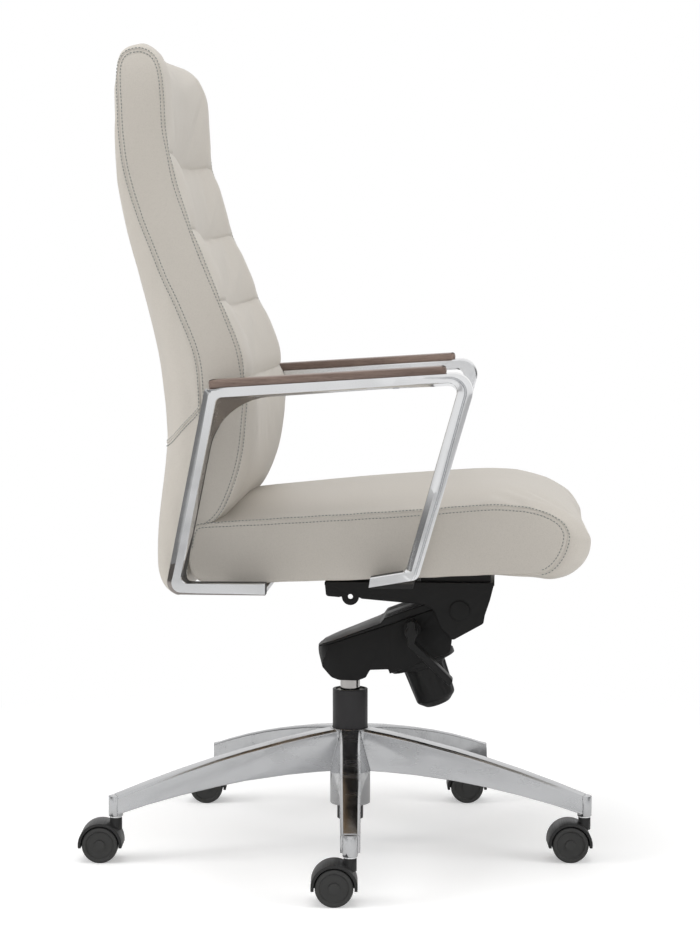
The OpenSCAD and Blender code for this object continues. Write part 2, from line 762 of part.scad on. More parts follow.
// Points of the handle's middle line, from its top past the pivot to its tip.
handle_path = [[lever_f, lever_h + 13], [lever_f, lever_h - 15], [lever_f + 52, lever_h - 66]];

module lever_handle() {
    color(black) at_mech() translate([lever_outer + handle_w / 2, 0, 0]) difference() {
        across(handle_w) union() {
            for (k = [0:1]) stroke(handle_path[k], handle_path[k + 1], handle_t);
            for (p = handle_path) translate(p) circle(d = handle_t);
            translate(lever_at) circle(d = lever_d + 7);
        }
        cross_bar(lever_at, lever_d, 3 - handle_w / 2, handle_w);
    }
}

presser_r = 4;              // round bar that lies over the valve pin
presser_at = [0, pin_top + part_gap + presser_r];
presser_reach = 14;

module release_arm() {
    color(steel) at_mech() union() {
        difference() {
            translate([release_in - release_t / 2, 0, 0]) across(release_t) union() {
                stroke(presser_at, lever_at, 9);
                translate(lever_at) circle(d = lever_d + 7);
                translate(presser_at) circle(presser_r);
            }
            cross_bar(lever_at, lever_d, -200, 0);
        }
        cross_bar(presser_at, 2 * presser_r, release_in - eps, presser_reach);
    }
}

tilt_arm_w = 32;
tilt_arm_t = 18;
pad_t = 8;
pad_l = 34;

module tilt_arm() {
    color(steel) at_mech() difference() {
        across(tilt_arm_w) union() {
            stroke(lever_at, knee, tilt_arm_t);
            translate(knee) circle(d = knee_d + 10);
            translate(lever_at) circle(d = lever_d + 10);
            translate(on_screw(pad_rest)) rotate(housing_slope) translate([-pad_l / 2, 0])
                square([pad_l, pad_t]);
        }
        cross_bar(knee, knee_d, -tilt_arm_w, tilt_arm_w);
        cross_bar(lever_at, lever_d + 2 * part_gap, -tilt_arm_w, tilt_arm_w);
    }
}

axle_cap_d = 28;
axle_cap_t = 2;

module knee_axle() {
    inner = housing_half + bush_flange_t + part_gap;
    color(steel) at_mech() union() {
        cross_bar(knee, knee_d, -bracket_half - axle_cap_t, bracket_half + axle_cap_t);
        for (side = [-1, 1]) {
            a = side * inner;
            b = side * (bracket_half - bracket_t);
            c = side * bracket_half;
            d = side * (bracket_half + axle_cap_t);
            cross_bar(knee, knee_d + 8, min(a, b), max(a, b));
            cross_bar(knee, axle_cap_d, min(c, d), max(c, d));
        }
    }
}

// ---------- seat bracket and spacers ----------

bracket_rear_f = -31;
bracket_front_f = 205;
tab_h = bracket_h - 20.5;   // height of the hole through the rear tabs
spacer_half = bracket_half - 8;
rear_spacer_f = [-25, 42];
front_spacer_f = [103, 200];
bracket_bolt_x = 50;
bracket_bolt_f = [12, 150];

flange_outline = rounded([
    [bracket_rear_f, bracket_h, 0], [bracket_front_f, bracket_h, 0],
    [bracket_front_f - 6, bracket_h - 24, 8], [knee_f + 35, knee_h - 6, 8], [knee_f + 33, knee_h - 18, 5],
    [knee_f - 10, knee_h - 42, 5], [knee_f - 27, knee_h - 22, 12], [knee_f - 36, knee_h, 10],
    [knee_f - 48, knee_h + 8, 8], [tab_f + tab_r + 4, bracket_h - 23.5, 3], [tab_f + tab_r, tab_h - 1, 0],
    [tab_f - tab_r, tab_h, 0], [tab_f - tab_r - 4, bracket_h - 21.5, 3],
    [bracket_rear_f + 2, bracket_h - 20, 4]]);

module seat_bracket() {
    color(black) at_mech() difference() {
        union() {
            for (side = [-1, 1]) translate([side * (bracket_half - bracket_t / 2), 0, 0])
                across(bracket_t) union() {
                    polygon(flange_outline);
                    translate([tab_f, tab_h]) circle(tab_r);
                }
            translate([-bracket_half, -bracket_front_f, bracket_h - bracket_t])
                cube([2 * bracket_half, bracket_front_f - bracket_rear_f, bracket_t]);
        }
        cross_bar([tab_f, tab_h], tab_hole_d, -bracket_half - 1, bracket_half + 1);
        cross_bar(knee, knee_d, -bracket_half - 1, bracket_half + 1);
        for (x = [-1, 1], f = bracket_bolt_f)
            translate([x * bracket_bolt_x, -f, bracket_h - bracket_t - 1])
                cylinder(d = bolt_d, h = bracket_t + 2);
        translate([0, -80, bracket_h - bracket_t - 1]) cylinder(d = 44, h = bracket_t + 2);
    }
}

// Height of the seat pan's underside above the pan's own datum, on the axis.
function pan_under(f) = f * tan(seat_slope);

module spacer(f1, f2, bolt_f) {
    color(black) translate([0, 0, pan_z]) difference() {
        across(2 * spacer_half)
            polygon([[f1, -spacer_h], [f2, -spacer_h], [f2, pan_under(f2)], [f1, pan_under(f1)]]);
        for (x = [-1, 1]) translate([x * bracket_bolt_x, -bolt_f, -spacer_h - 1])
            cylinder(d = bolt_d, h = 2 * spacer_h);
    }
}

module rear_spacer() {
    spacer(rear_spacer_f[0], rear_spacer_f[1], bracket_bolt_f[0]);
}

module front_spacer() {
    spacer(front_spacer_f[0], front_spacer_f[1], bracket_bolt_f[1]);
}

// A bolt that stands at [x, forward] with its head below z and its shank up to the pan.
module bolt(x, f, z) {
    translate([x, -f, z - bolt_head_h]) union() {
        cylinder(d = bolt_d * 1.7, h = bolt_head_h);
        cylinder(d = bolt_d, h = bolt_head_h - z + pan_under(f) + pan_t - 3);
    }
}

module bracket_bolts() {
    color(steel) translate([0, 0, pan_z]) for (x = [-1, 1], f = bracket_bolt_f)
        bolt(x * bracket_bolt_x, f, -spacer_h - bracket_t);
}

// ---------- seat: heights are above the pan's underside on the swivel axis ----------

module at_pan() {
    translate([0, 0, pan_z]) children();
}

pan_rear_f = -seat_rear + pan_margin;
pan_front_f = seat_front - seat_roll_r - 20;
pan_half = seat_w / 2 - pan_margin;
pan_corner_r = 30;
arm_bolt_x = pan_half - 20;
rear_tab_f = -96;           // front end of the rear arm tab
front_tab_f = 100;          // front end of the front arm tab
arm_tabs = [for (end = [rear_tab_f, front_tab_f]) [end - arm_tab_l, end]];
bolt_inset = 14;
arm_bolt_f = [for (tab = arm_tabs) each [tab[0] + bolt_inset, tab[1] - bolt_inset]];
back_bar_bolt_f = [-80, -130];

module pan_solid() {
    intersection() {
        across(2 * pan_half) polygon([
            [pan_rear_f, pan_under(pan_rear_f)], [pan_front_f, pan_under(pan_front_f)],
            [pan_front_f, pan_under(pan_front_f) + pan_t], [pan_rear_f, pan_under(pan_rear_f) + pan_t]]);
        translate([0, -(pan_front_f + pan_rear_f) / 2, -100]) linear_extrude(200)
            round_rect(2 * pan_half, pan_front_f - pan_rear_f, pan_corner_r);
    }
}

module seat_bolt_holes() {
    for (x = [-1, 1]) {
        for (f = bracket_bolt_f) translate([x * bracket_bolt_x, -f, -20])
            cylinder(d = bolt_d, h = 20 + pan_under(f) + pan_t - 3);
        for (f = arm_bolt_f) translate([x * arm_bolt_x, -f, -20])
            cylinder(d = bolt_d, h = 20 + pan_under(f) + pan_t - 3);
        for (f = back_bar_bolt_f) translate([x * back_bar_pitch / 2, -f, -20])
            cylinder(d = bolt_d, h = 20 + pan_under(f) + pan_t - 3);
    }
}

module seat_pan() {
    color(plywood) at_pan() difference() {
        pan_solid();
        seat_bolt_holes();
    }
}

// The cushion's middle outline: underside, front roll, crowned top, rear.
seat_outline = let (roll = [seat_front - seat_roll_r, seat_roll_r - 5]) concat(
    [[-seat_rear, pan_under(-seat_rear) + 3], [0, 2], [pan_front_f, pan_under(pan_front_f) + 3]],
    [for (a = [-105:15:60]) roll + seat_roll_r * [cos(a), sin(a)]],
    [[255, seat_crown - 5], [220, seat_crown - 1], [190, seat_crown], [130, seat_crown - 2],
     [66, seat_crown - 7], [0, seat_crown - 12], [-80, seat_crown - 18], [-150, seat_crown - 26],
     [-seat_rear, seat_crown - 44]]);

module seat_cushion() {
    depth = seat_front + seat_rear;
    color(leather) at_pan() difference() {
        intersection() {
            across(seat_w) polygon(seat_outline);
            translate([0, -(seat_front - seat_rear) / 2, -50]) linear_extrude(250)
                round_rect(seat_w, depth, seat_corner_r);
            translate([0, seat_rear + 1, 0]) rotate([90, 0, 0]) linear_extrude(depth + 2)
                translate([0, seat_crown / 2 - 20]) round_rect(seat_w, seat_crown + 40, seat_edge_r);
        }
        pan_solid();
        translate([0, -(pan_front_f + pan_rear_f) / 2, -100 + pan_under(pan_rear_f)]) linear_extrude(100)
            round_rect(2 * pan_half, pan_front_f - pan_rear_f, pan_corner_r);
        across(2 * pan_half) polygon([[pan_rear_f + pan_corner_r, -60], [pan_front_f - pan_corner_r, -60],
            [pan_front_f - pan_corner_r, pan_under(pan_front_f - pan_corner_r) + 1],
            [pan_rear_f + pan_corner_r, pan_under(pan_rear_f + pan_corner_r) + 1]]);
    }
}

// ---------- back ----------

back_w_low = seat_w - back_inset_low;
back_w_top = seat_w - back_inset_top;

back_gap = 3;               // space between the back's foot and the seat's rear face

// Rows of [height, forward] for the two faces of the back.
back_rear_face = [[-back_drop, -216], [-back_drop + 9, -230], [8, -236.5], [29, -237], [80, -233],
    [134, -229], [202, -226], [240, -229], [290, -239], [345, -251], [434, -272], [513, -286],
    [564, -290], [back_top - 38, -292]];
back_front_face = [[97, -144], [120, -137], [146, -127], [173, -122], [199, -119], [238, -115],
    [271, -118], [304, -124], [330, -132], [376, -148], [428, -170], [473, -188], [525, -206],
    [564, -216], [603, -221], [back_top - 38, -224]];
back_foot_front = -seat_rear - back_gap;
back_depth_top = 292 - 224;

function back_rear_at(h) = lookup(h, back_rear_face);
function back_front_at(h) = lookup(h, back_front_face);

back_outline = concat(
    [for (row = back_rear_face) [row[1], row[0]]],
    [for (a = [165:-15:15]) [-258 + back_depth_top / 2 * cos(a), back_top - 38 + 38 * sin(a)]],
    [for (k = [len(back_front_face) - 1:-1:0]) [back_front_face[k][1], back_front_face[k][0]]],
    [[-150, seat_crown - 23], [back_foot_front, seat_crown - 41], [back_foot_front, -back_drop + 4],
     [back_foot_front - 4, -back_drop]]);

// The back seen from the front, as [across, up].
module back_face() {
    union() {
        polygon([[-back_w_low / 2, -60], [back_w_low / 2, -60], [back_w_low / 2, 240],
            [back_w_top / 2, back_top - back_corner_r],
            [back_w_top / 2 - back_corner_r, back_top - back_corner_r / 2],
            [-back_w_top / 2 + back_corner_r, back_top - back_corner_r / 2],
            [-back_w_top / 2, back_top - back_corner_r], [-back_w_low / 2, 240]]);
        for (side = [-1, 1])
            translate([side * (back_w_top / 2 - back_corner_r), back_top - back_corner_r])
                circle(back_corner_r);
        translate([-back_w_top / 2 + back_corner_r, back_top - back_corner_r])
            square([back_w_top - 2 * back_corner_r, back_corner_r]);
    }
}

board_low = 112;
board_high = 640;
board_half = 175;
board_place = 0.75;         // how far the board lies from the front face towards the rear face

function board_at(h) = back_front_at(h) * (1 - board_place) + back_rear_at(h) * board_place;

board_heights = [for (k = [0:12]) board_low + (board_high - board_low) * k / 12];
board_outline = concat(
    [for (h = board_heights) [board_at(h) + back_board_t / 2, h]],
    [for (k = [12:-1:0]) [board_at(board_heights[k]) - back_board_t / 2, board_heights[k]]]);
back_bolt_h = 202;
bar_front_f = board_at(board_low) - back_board_t / 2 - 1;
bar_top_h = 232;

module back_board_solid() {
    across(2 * board_half) polygon(board_outline);
}

module back_board() {
    color(plywood) at_pan() difference() {
        back_board_solid();
        for (x = [-1, 1]) back_bar_bolt(x * back_bar_pitch / 2);
    }
}

// The two bars run under the seat pan, turn up behind the seat and stand behind the board.
module back_bars_solid() {
    for (x = [-1, 1]) translate([x * back_bar_pitch / 2, 0, 0]) across(back_bar_w)
        polygon(rounded([
            [-62, pan_under(-62), 0], [bar_front_f, pan_under(bar_front_f), 6], [bar_front_f, bar_top_h, 0],
            [bar_front_f - back_bar_t, bar_top_h, 0],
            [bar_front_f - back_bar_t, pan_under(bar_front_f) - back_bar_t, 10],
            [-62, pan_under(-62) - back_bar_t, 0]]));
}

// A bolt with its sleeve, through a bar and into the board.
module back_bar_bolt(x) {
    translate([x, -bar_front_f + back_bar_t + bolt_head_h, back_bolt_h]) rotate([90, 0, 0]) union() {
        cylinder(d = bolt_d * 1.7, h = bolt_head_h);
        cylinder(d = bolt_d, h = bolt_head_h + back_bar_t + board_at(back_bolt_h) - bar_front_f + 2);
        translate([0, 0, bolt_head_h + back_bar_t])
            cylinder(d = bolt_d * 1.7, h = board_at(back_bolt_h) - back_board_t / 2 - bar_front_f);
    }
}

module back_bars() {
    color(black) at_pan() difference() {
        back_bars_solid();
        for (x = [-1, 1]) {
            back_bar_bolt(x * back_bar_pitch / 2);
            for (f = back_bar_bolt_f) bolt(x * back_bar_pitch / 2, f, pan_under(f) - back_bar_t);
        }
    }
}

module back_bolts() {
    color(steel) at_pan() for (x = [-1, 1]) {
        back_bar_bolt(x * back_bar_pitch / 2);
        for (f = back_bar_bolt_f) bolt(x * back_bar_pitch / 2, f, pan_under(f) - back_bar_t);
    }
}

module back_cushion() {
    color(leather) at_pan() difference() {
        intersection() {
            across(back_w_low + 2) polygon(back_outline);
            translate([0, 400, 0]) rotate([90, 0, 0]) linear_extrude(400) back_face();
        }
        back_board_solid();
        back_bars_solid();
        for (x = [-1, 1]) back_bar_bolt(x * back_bar_pitch / 2);
    }
}

// ---------- arms ----------

arm_inner_w = seat_w / 2 + arm_gap;                     // from the middle to an arm's inner face
arm_x = arm_inner_w + arm_w / 2;
arm_rear_f = -162.5;        // rear top corner of the band
arm_front_f = 185.5;        // front top corner of the band
arm_nose_rise = 2.5;        // how far that corner lies above arm_front_h
rear_foot_f = -214;
front_foot_f = 109;
rear_foot_h = -11;
front_foot_h = 11;
foot_t = 15.5;
front_foot_end_f = 44;
front_foot_t = 13;
rear_foot_end_f = -90;
foot_rise = 0.165;          // slope of the front foot

arm_outline = rounded([
    [rear_foot_end_f, rear_foot_h, 0], [rear_foot_f, rear_foot_h, 16], [arm_rear_f, arm_rear_h, 4],
    [arm_front_f, arm_front_h + arm_nose_rise, 24], [front_foot_f, front_foot_h, 12],
    [front_foot_end_f, front_foot_h - (front_foot_f - front_foot_end_f) * foot_rise, 0],
    [front_foot_end_f + 2, front_foot_h - (front_foot_f - front_foot_end_f) * foot_rise + front_foot_t, 0],
    [front_foot_f - arm_front_t, front_foot_h - arm_front_t * foot_rise + front_foot_t, 6],
    [arm_front_f - arm_front_t - 5, arm_front_h - arm_top_t + 1, 10],
    [arm_rear_f + arm_rear_t - 2, arm_rear_h - arm_top_t + 1, 26],
    [rear_foot_f + arm_rear_t + 1, rear_foot_h + foot_t, 8], [rear_foot_end_f, rear_foot_h + foot_t, 0]]);

// A prism that takes the sharp edge off the band along p to q at the side face x.
module edge_cut(p, q, x) {
    angle = atan2(q[1] - p[1], q[0] - p[0]);
    translate([x, -p[0], p[1]]) rotate([0, 0, -90]) rotate([0, -angle, 0]) rotate([45, 0, 0])
        translate([-20, -arm_bevel / 2, -arm_bevel / 2]) cube([norm(q - p) + 40, arm_bevel, arm_bevel]);
}

module arm_frame(side) {
    color(polished) at_pan() difference() {
        union() {
            translate([side * arm_x, 0, 0]) across(arm_w) polygon(arm_outline);
            for (tab = arm_tabs) {
                translate([side * (arm_inner_w + arm_bolt_x - 16) / 2, 0, 0])
                    across(arm_inner_w - arm_bolt_x + 18) polygon([
                        [tab[0], pan_under(tab[0]) - arm_tab_t], [tab[1], pan_under(tab[1]) - arm_tab_t],
                        [tab[1], pan_under(tab[1])], [tab[0], pan_under(tab[0])]]);
                translate([side * (arm_inner_w + seat_w / 2 + 3) / 2, 0, 0])
                    across(arm_inner_w - seat_w / 2 - 1) polygon([
                        [tab[0], pan_under(tab[0]) - arm_tab_t], [tab[1], pan_under(tab[1]) - arm_tab_t],
                        [tab[1], pan_under(tab[1]) + 9], [tab[0], pan_under(tab[0]) + 9]]);
            }
        }
        for (f = arm_bolt_f) bolt(side * arm_bolt_x, f, pan_under(f) - arm_tab_t);
        for (f = cap_screw_f) cap_screw(side, f);
        for (face = [-1, 1]) {
            edge_cut([rear_foot_f, rear_foot_h], [arm_rear_f, arm_rear_h], side * arm_x + face * arm_w / 2);
            edge_cut([front_foot_f, front_foot_h], [arm_front_f, arm_front_h],
                side * arm_x + face * arm_w / 2);
        }
    }
}

module arm_frame_right() {
    arm_frame(-1);
}

module arm_frame_left() {
    arm_frame(1);
}

module arm_bolts() {
    color(steel) at_pan() for (side = [-1, 1], f = arm_bolt_f)
        bolt(side * arm_bolt_x, f, pan_under(f) - arm_tab_t);
}

top_slope = atan2(arm_front_h + arm_nose_rise - arm_rear_h, arm_front_f - arm_rear_f);
cap_screw_f = [60, 240];    // distance of each cap screw from the cap's rear end
cap_w = arm_w - 2;

// Places a shape drawn along the top bar, with its origin at the band's rear top corner.
module on_top_bar(side) {
    translate([side * arm_x, -arm_rear_f, arm_rear_h]) rotate([-top_slope, 0, 0]) children();
}

module cap_screw(side, along) {
    on_top_bar(side) translate([0, -along, -arm_top_t + 1]) union() {
        translate([0, 0, -3]) cylinder(d = cap_screw_d * 1.8, h = 3);
        cylinder(d = cap_screw_d, h = arm_top_t + cap_t - 4);
    }
}

module arm_cap(side) {
    color(walnut) at_pan() difference() {
        on_top_bar(side) intersection() {
            across(cap_w) polygon(rounded([[0, 0, 0], [cap_l, 0, 3], [cap_l, cap_t, 4], [0, cap_t, 3]]));
            translate([0, -cap_l / 2, -1]) linear_extrude(cap_t + 2) round_rect(cap_w, cap_l, 8);
        }
        for (f = cap_screw_f) cap_screw(side, f);
    }
}

module arm_cap_right() {
    arm_cap(-1);
}

module arm_cap_left() {
    arm_cap(1);
}

module cap_screws() {
    color(steel) at_pan() for (side = [-1, 1], f = cap_screw_f) cap_screw(side, f);
}

// ---------- drawing ----------

base_spider();
column_tube();
guide_bush();
thrust_bearing();
castor_stems();
castor_housing(1);  // castor_housing_1
castor_housing(2);  // castor_housing_2
castor_housing(3);  // castor_housing_3
castor_housing(4);  // castor_housing_4
castor_housing(5);  // castor_housing_5
castor_axle(1);  // castor_axle_1
castor_axle(2);  // castor_axle_2
castor_axle(3);  // castor_axle_3
castor_axle(4);  // castor_axle_4
castor_axle(5);  // castor_axle_5
castor_wheel(1, -1);  // castor_wheel_1a
castor_wheel(2, -1);  // castor_wheel_2a
castor_wheel(3, -1);  // castor_wheel_3a
castor_wheel(4, -1);  // castor_wheel_4a
castor_wheel(5, -1);  // castor_wheel_5a
castor_wheel(1, 1);  // castor_wheel_1b
castor_wheel(2, 1);  // castor_wheel_2b
castor_wheel(3, 1);  // castor_wheel_3b
castor_wheel(4, 1);  // castor_wheel_4b
castor_wheel(5, 1);  // castor_wheel_5b
piston_rod();
retaining_clip();
gas_cylinder();
valve_pin();
tilt_housing();
housing_cover();
spring_cover();
knee_bushes();
tension_knob();
tension_screw();
tension_nut();
tension_spring();
lever_bush();
lever_rod();
lever_handle();
release_arm();
knee_axle();
tilt_arm();
seat_bracket();
front_spacer();
rear_spacer();
bracket_bolts();
seat_pan();
seat_cushion();
back_board();
back_cushion();
back_bars();
back_bolts();
arm_frame_right();
arm_frame_left();
arm_cap_right();
arm_cap_left();
arm_bolts();
cap_screws();
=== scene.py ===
"""Swivel office chair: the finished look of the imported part, in metres, with +Z up and the seat facing -Y."""
import math

import bmesh
import bpy
import numpy as np
from mathutils import Matrix, Vector
from mathutils.bvhtree import BVHTree


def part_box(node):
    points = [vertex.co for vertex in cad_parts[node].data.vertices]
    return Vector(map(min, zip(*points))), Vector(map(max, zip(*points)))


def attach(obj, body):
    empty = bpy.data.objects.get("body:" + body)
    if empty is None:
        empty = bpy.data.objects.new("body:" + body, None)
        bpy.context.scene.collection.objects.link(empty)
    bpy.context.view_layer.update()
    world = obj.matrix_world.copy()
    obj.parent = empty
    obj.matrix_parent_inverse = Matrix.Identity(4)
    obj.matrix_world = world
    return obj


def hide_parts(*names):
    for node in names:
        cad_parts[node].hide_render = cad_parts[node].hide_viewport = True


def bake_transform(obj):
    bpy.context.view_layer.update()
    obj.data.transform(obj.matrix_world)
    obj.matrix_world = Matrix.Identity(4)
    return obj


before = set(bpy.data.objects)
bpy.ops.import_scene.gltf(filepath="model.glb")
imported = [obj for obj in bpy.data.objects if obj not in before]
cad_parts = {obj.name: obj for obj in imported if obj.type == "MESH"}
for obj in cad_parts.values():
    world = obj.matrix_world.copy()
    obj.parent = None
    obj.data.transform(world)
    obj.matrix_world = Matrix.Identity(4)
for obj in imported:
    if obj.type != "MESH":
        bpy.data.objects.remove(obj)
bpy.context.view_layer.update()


# ---------- five-star base ----------
# One aluminium casting, ground and polished. Its legs are hollow underneath, and every edge
# is broken by hand, so the copy of the casting gets a small rounded edge all over.

def shader_group(name, inputs, outputs):
    """An empty shader group with its sockets; each input is (name, type, value)."""
    group = bpy.data.node_groups.new(name, "ShaderNodeTree")
    for label, kind, value in inputs:
        socket = group.interface.new_socket(label, in_out="INPUT", socket_type=kind)
        if value is not None:
            socket.default_value = value
    for label, kind in outputs:
        group.interface.new_socket(label, in_out="OUTPUT", socket_type=kind)
    return group, group.nodes.new("NodeGroupInput"), group.nodes.new("NodeGroupOutput")


def add_node(tree, kind, values=None, **settings):
    """A node with its settings, and with values or links put on its inputs by name or number."""
    node = tree.nodes.new("ShaderNode" + kind)
    for key, value in settings.items():
        setattr(node, key, value)
    for key, value in (values or {}).items():
        if isinstance(value, bpy.types.NodeSocket):
            tree.links.new(value, node.inputs[key])
        else:
            node.inputs[key].default_value = value
    return node


def polish_marks_group():
    """Fine buffing marks and a faint cloudiness, as a roughness and a height."""
    group, given, out = shader_group(
        "polish_marks",
        [("Place", "NodeSocketVector", None), ("Length", "NodeSocketFloat", 60.0),
         ("Least", "NodeSocketFloat", 0.1), ("Most", "NodeSocketFloat", 0.2)],
        [("Roughness", "NodeSocketFloat"), ("Height", "NodeSocketFloat")])
    stretch = add_node(group, "Mapping", {"Vector": given.outputs["Place"], "Scale": (1.0, 0.12, 1.0)})
    marks = add_node(group, "TexNoise", {"Vector": stretch.outputs[0], "Scale": given.outputs["Length"],
                                         "Detail": 6.0, "Roughness": 0.65})
    cloud = add_node(group, "TexNoise", {"Vector": given.outputs["Place"], "Scale": 14.0, "Detail": 2.0})
    both = add_node(group, "Math", {0: marks.outputs[0], 1: cloud.outputs[0]}, operation="MULTIPLY")
    spread = add_node(group, "MapRange", {"Value": both.outputs[0], "From Min": 0.12, "From Max": 0.4,
                                          "To Min": given.outputs["Least"], "To Max": given.outputs["Most"]})
    group.links.new(spread.outputs[0], out.inputs["Roughness"])
    group.links.new(marks.outputs[0], out.inputs["Height"])
    return group


polish_marks = polish_marks_group()


def new_material(name, colour, roughness, metallic=0.0):
    """A material with a Principled shader, and the shader and the object's own coordinates."""
    mat = bpy.data.materials.new(name)
    mat.use_nodes = True
    tree = mat.node_tree
    shader = tree.nodes["Principled BSDF"]
    shader.inputs["Base Color"].default_value = (*colour, 1.0)
    shader.inputs["Roughness"].default_value = roughness
    shader.inputs["Metallic"].default_value = metallic
    place = tree.nodes.new("ShaderNodeTexCoord").outputs["Object"]
    mat.diffuse_color = (*colour, 1.0)
    return mat, tree, shader, place


def use_group(tree, group, values):
    """Places a shader group in a material with its own values."""
    return add_node(tree, "Group", values, node_tree=group)


def raise_surface(tree, shader, height, distance, strength=1.0):
    """Lets a height that changes over the surface bend the light there."""
    bump = add_node(tree, "Bump", {"Height": height, "Distance": distance, "Strength": strength})
    tree.links.new(bump.outputs[0], shader.inputs["Normal"])


def polished_metal(name, colour, least, most, length, depth=0.00002):
    """Bare metal with buffing marks: its roughness runs from least to most, its marks are depth high."""
    mat, tree, shader, place = new_material(name, colour, most, 1.0)
    marks = use_group(tree, polish_marks, {"Place": place, "Length": length, "Least": least, "Most": most})
    tree.links.new(marks.outputs["Roughness"], shader.inputs["Roughness"])
    raise_surface(tree, shader, marks.outputs["Height"], depth, 0.5)
    return mat


def give(piece, mat):
    """One material for a whole piece."""
    piece.data.materials.clear()
    piece.data.materials.append(mat)


def show(name, mesh, mat, body):
    """Puts a finished mesh in the scene as a piece that rides on a body."""
    piece = bpy.data.objects.new(name, mesh)
    bpy.context.scene.collection.objects.link(piece)
    if not mesh.materials:
        give(piece, mat)
    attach(piece, body)
    return piece


merge_distance = 0.00002


def broken_edges(node, edge, mat, body, segments=3):
    """A copy of a CAD node whose sharp edges are rounded by edge, in the node's place."""
    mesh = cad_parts[node].data.copy()
    mesh.name = node + "_finished"
    mesh.materials.clear()
    work = bmesh.new()
    work.from_mesh(mesh)
    bmesh.ops.remove_doubles(work, verts=work.verts, dist=merge_distance)
    bmesh.ops.dissolve_limit(work, angle_limit=math.radians(0.8), verts=work.verts, edges=work.edges)
    work.to_mesh(mesh)
    work.free()
    mesh.shade_smooth()
    piece = show(node + "_finished", mesh, mat, body)
    rounding = piece.modifiers.new("broken_edges", "BEVEL")
    rounding.width = edge
    rounding.segments = segments
    rounding.limit_method = "ANGLE"
    rounding.angle_limit = math.radians(28)
    rounding.use_clamp_overlap = False
    rounding.harden_normals = True
    # Where three edges meet at a shallow angle the rounding can run out past the solid, so
    # those points are put back between their neighbours.
    depsgraph = bpy.context.evaluated_depsgraph_get()
    solid = BVHTree.FromObject(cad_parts[node], depsgraph)
    rounded = bpy.data.meshes.new_from_object(piece.evaluated_get(depsgraph))
    piece.modifiers.clear()
    piece.data = rounded
    work = bmesh.new()
    work.from_mesh(rounded)
    stray = {vert for vert in work.verts if solid.find_nearest(vert.co)[3] > edge * 0.55}
    while stray:
        settled = set()
        for vert in stray:
            near = [link.other_vert(vert) for link in vert.link_edges]
            near = [other.co for other in near if other not in stray]
            if near:
                vert.co = solid.find_nearest(sum(near, Vector()) / len(near))[0]
                settled.add(vert)
        if not settled:
            break
        stray -= settled
    work.to_mesh(rounded)
    work.free()
    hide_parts(node)
    return piece


# Its colour is darker than the arms' aluminium, as painted shade for the legs' greyer look; its grinding marks
# and rougher finish are its own.
painted_shade_base_metal = polished_metal("ground_base_metal_painted_shade", (0.54, 0.545, 0.555), 0.13, 0.34, 55.0, 0.00006)
broken_edges("base_spider", 0.0009, painted_shade_base_metal, "base")

# ---------- twin-wheel castors ----------
# Two black nylon wheels on a pressed-in axle, under a moulded fender that turns on a plated
# stem. The fender and the wheels are satin from the mould.

def moulded_skin_group():
    """The fine spark-eroded skin of moulded plastic, as a height and a faint shade."""
    group, given, out = shader_group(
        "moulded_skin",
        [("Place", "NodeSocketVector", None), ("Grain", "NodeSocketFloat", 900.0),
         ("Dark", "NodeSocketColor", (0.02, 0.02, 0.02, 1.0)),
         ("Light", "NodeSocketColor", (0.04, 0.04, 0.04, 1.0))],
        [("Colour", "NodeSocketColor"), ("Height", "NodeSocketFloat"), ("Roughness", "NodeSocketFloat")])
    pits = add_node(group, "TexVoronoi", {"Vector": given.outputs["Place"], "Scale": given.outputs["Grain"]})
    flow = add_node(group, "TexNoise", {"Vector": given.outputs["Place"], "Scale": 22.0, "Detail": 3.0})
    tone = add_node(group, "Mix", {0: flow.outputs[0], 6: given.outputs["Dark"], 7: given.outputs["Light"]},
                    data_type="RGBA")
    shine = add_node(group, "MapRange", {"Value": flow.outputs[0], "From Min": 0.3, "From Max": 0.7,
                                         "To Min": 0.36, "To Max": 0.5})
    group.links.new(tone.outputs[2], out.inputs["Colour"])
    group.links.new(pits.outputs["Distance"], out.inputs["Height"])
    group.links.new(shine.outputs[0], out.inputs["Roughness"])
    return group


moulded_skin = moulded_skin_group()


def moulded_plastic(name, dark, light, grain, depth, gloss=0.5):
    """Plastic or paint between two shades, with a skin of grain pits to the metre that are depth high."""
    mat, tree, shader, place = new_material(name, light, 0.42)
    shader.inputs["Specular IOR Level"].default_value = gloss
    skin = use_group(tree, moulded_skin, {"Place": place, "Grain": grain, "Dark": (*dark, 1.0),
                                          "Light": (*light, 1.0)})
    tree.links.new(skin.outputs["Colour"], shader.inputs["Base Color"])
    tree.links.new(skin.outputs["Roughness"], shader.inputs["Roughness"])
    raise_surface(tree, shader, skin.outputs["Height"], depth, 0.6)
    return mat


fender_black = moulded_plastic(
    "fender_black", (0.012, 0.012, 0.012), (0.020, 0.020, 0.020), 1100.0, 0.00002, 0.35)
wheel_nylon = moulded_plastic(
    "wheel_nylon", (0.036, 0.036, 0.035), (0.046, 0.046, 0.045), 900.0, 0.00003, 0.25)
plated_steel = polished_metal("plated_steel", (0.80, 0.81, 0.82), 0.08, 0.18, 120.0)
for i in range(1, 6):
    broken_edges(f"castor_housing_{i}", 0.0007, fender_black, f"castor_{i}", 2)
    for side in "ab":
        give(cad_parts[f"castor_wheel_{i}{side}"], wheel_nylon)
    give(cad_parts[f"castor_axle_{i}"], plated_steel)
give(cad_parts["castor_stems"], plated_steel)

# ---------- lift column ----------
# A powder-coated steel tube in the hub's cone, with a nylon guide and a chromed gas spring.

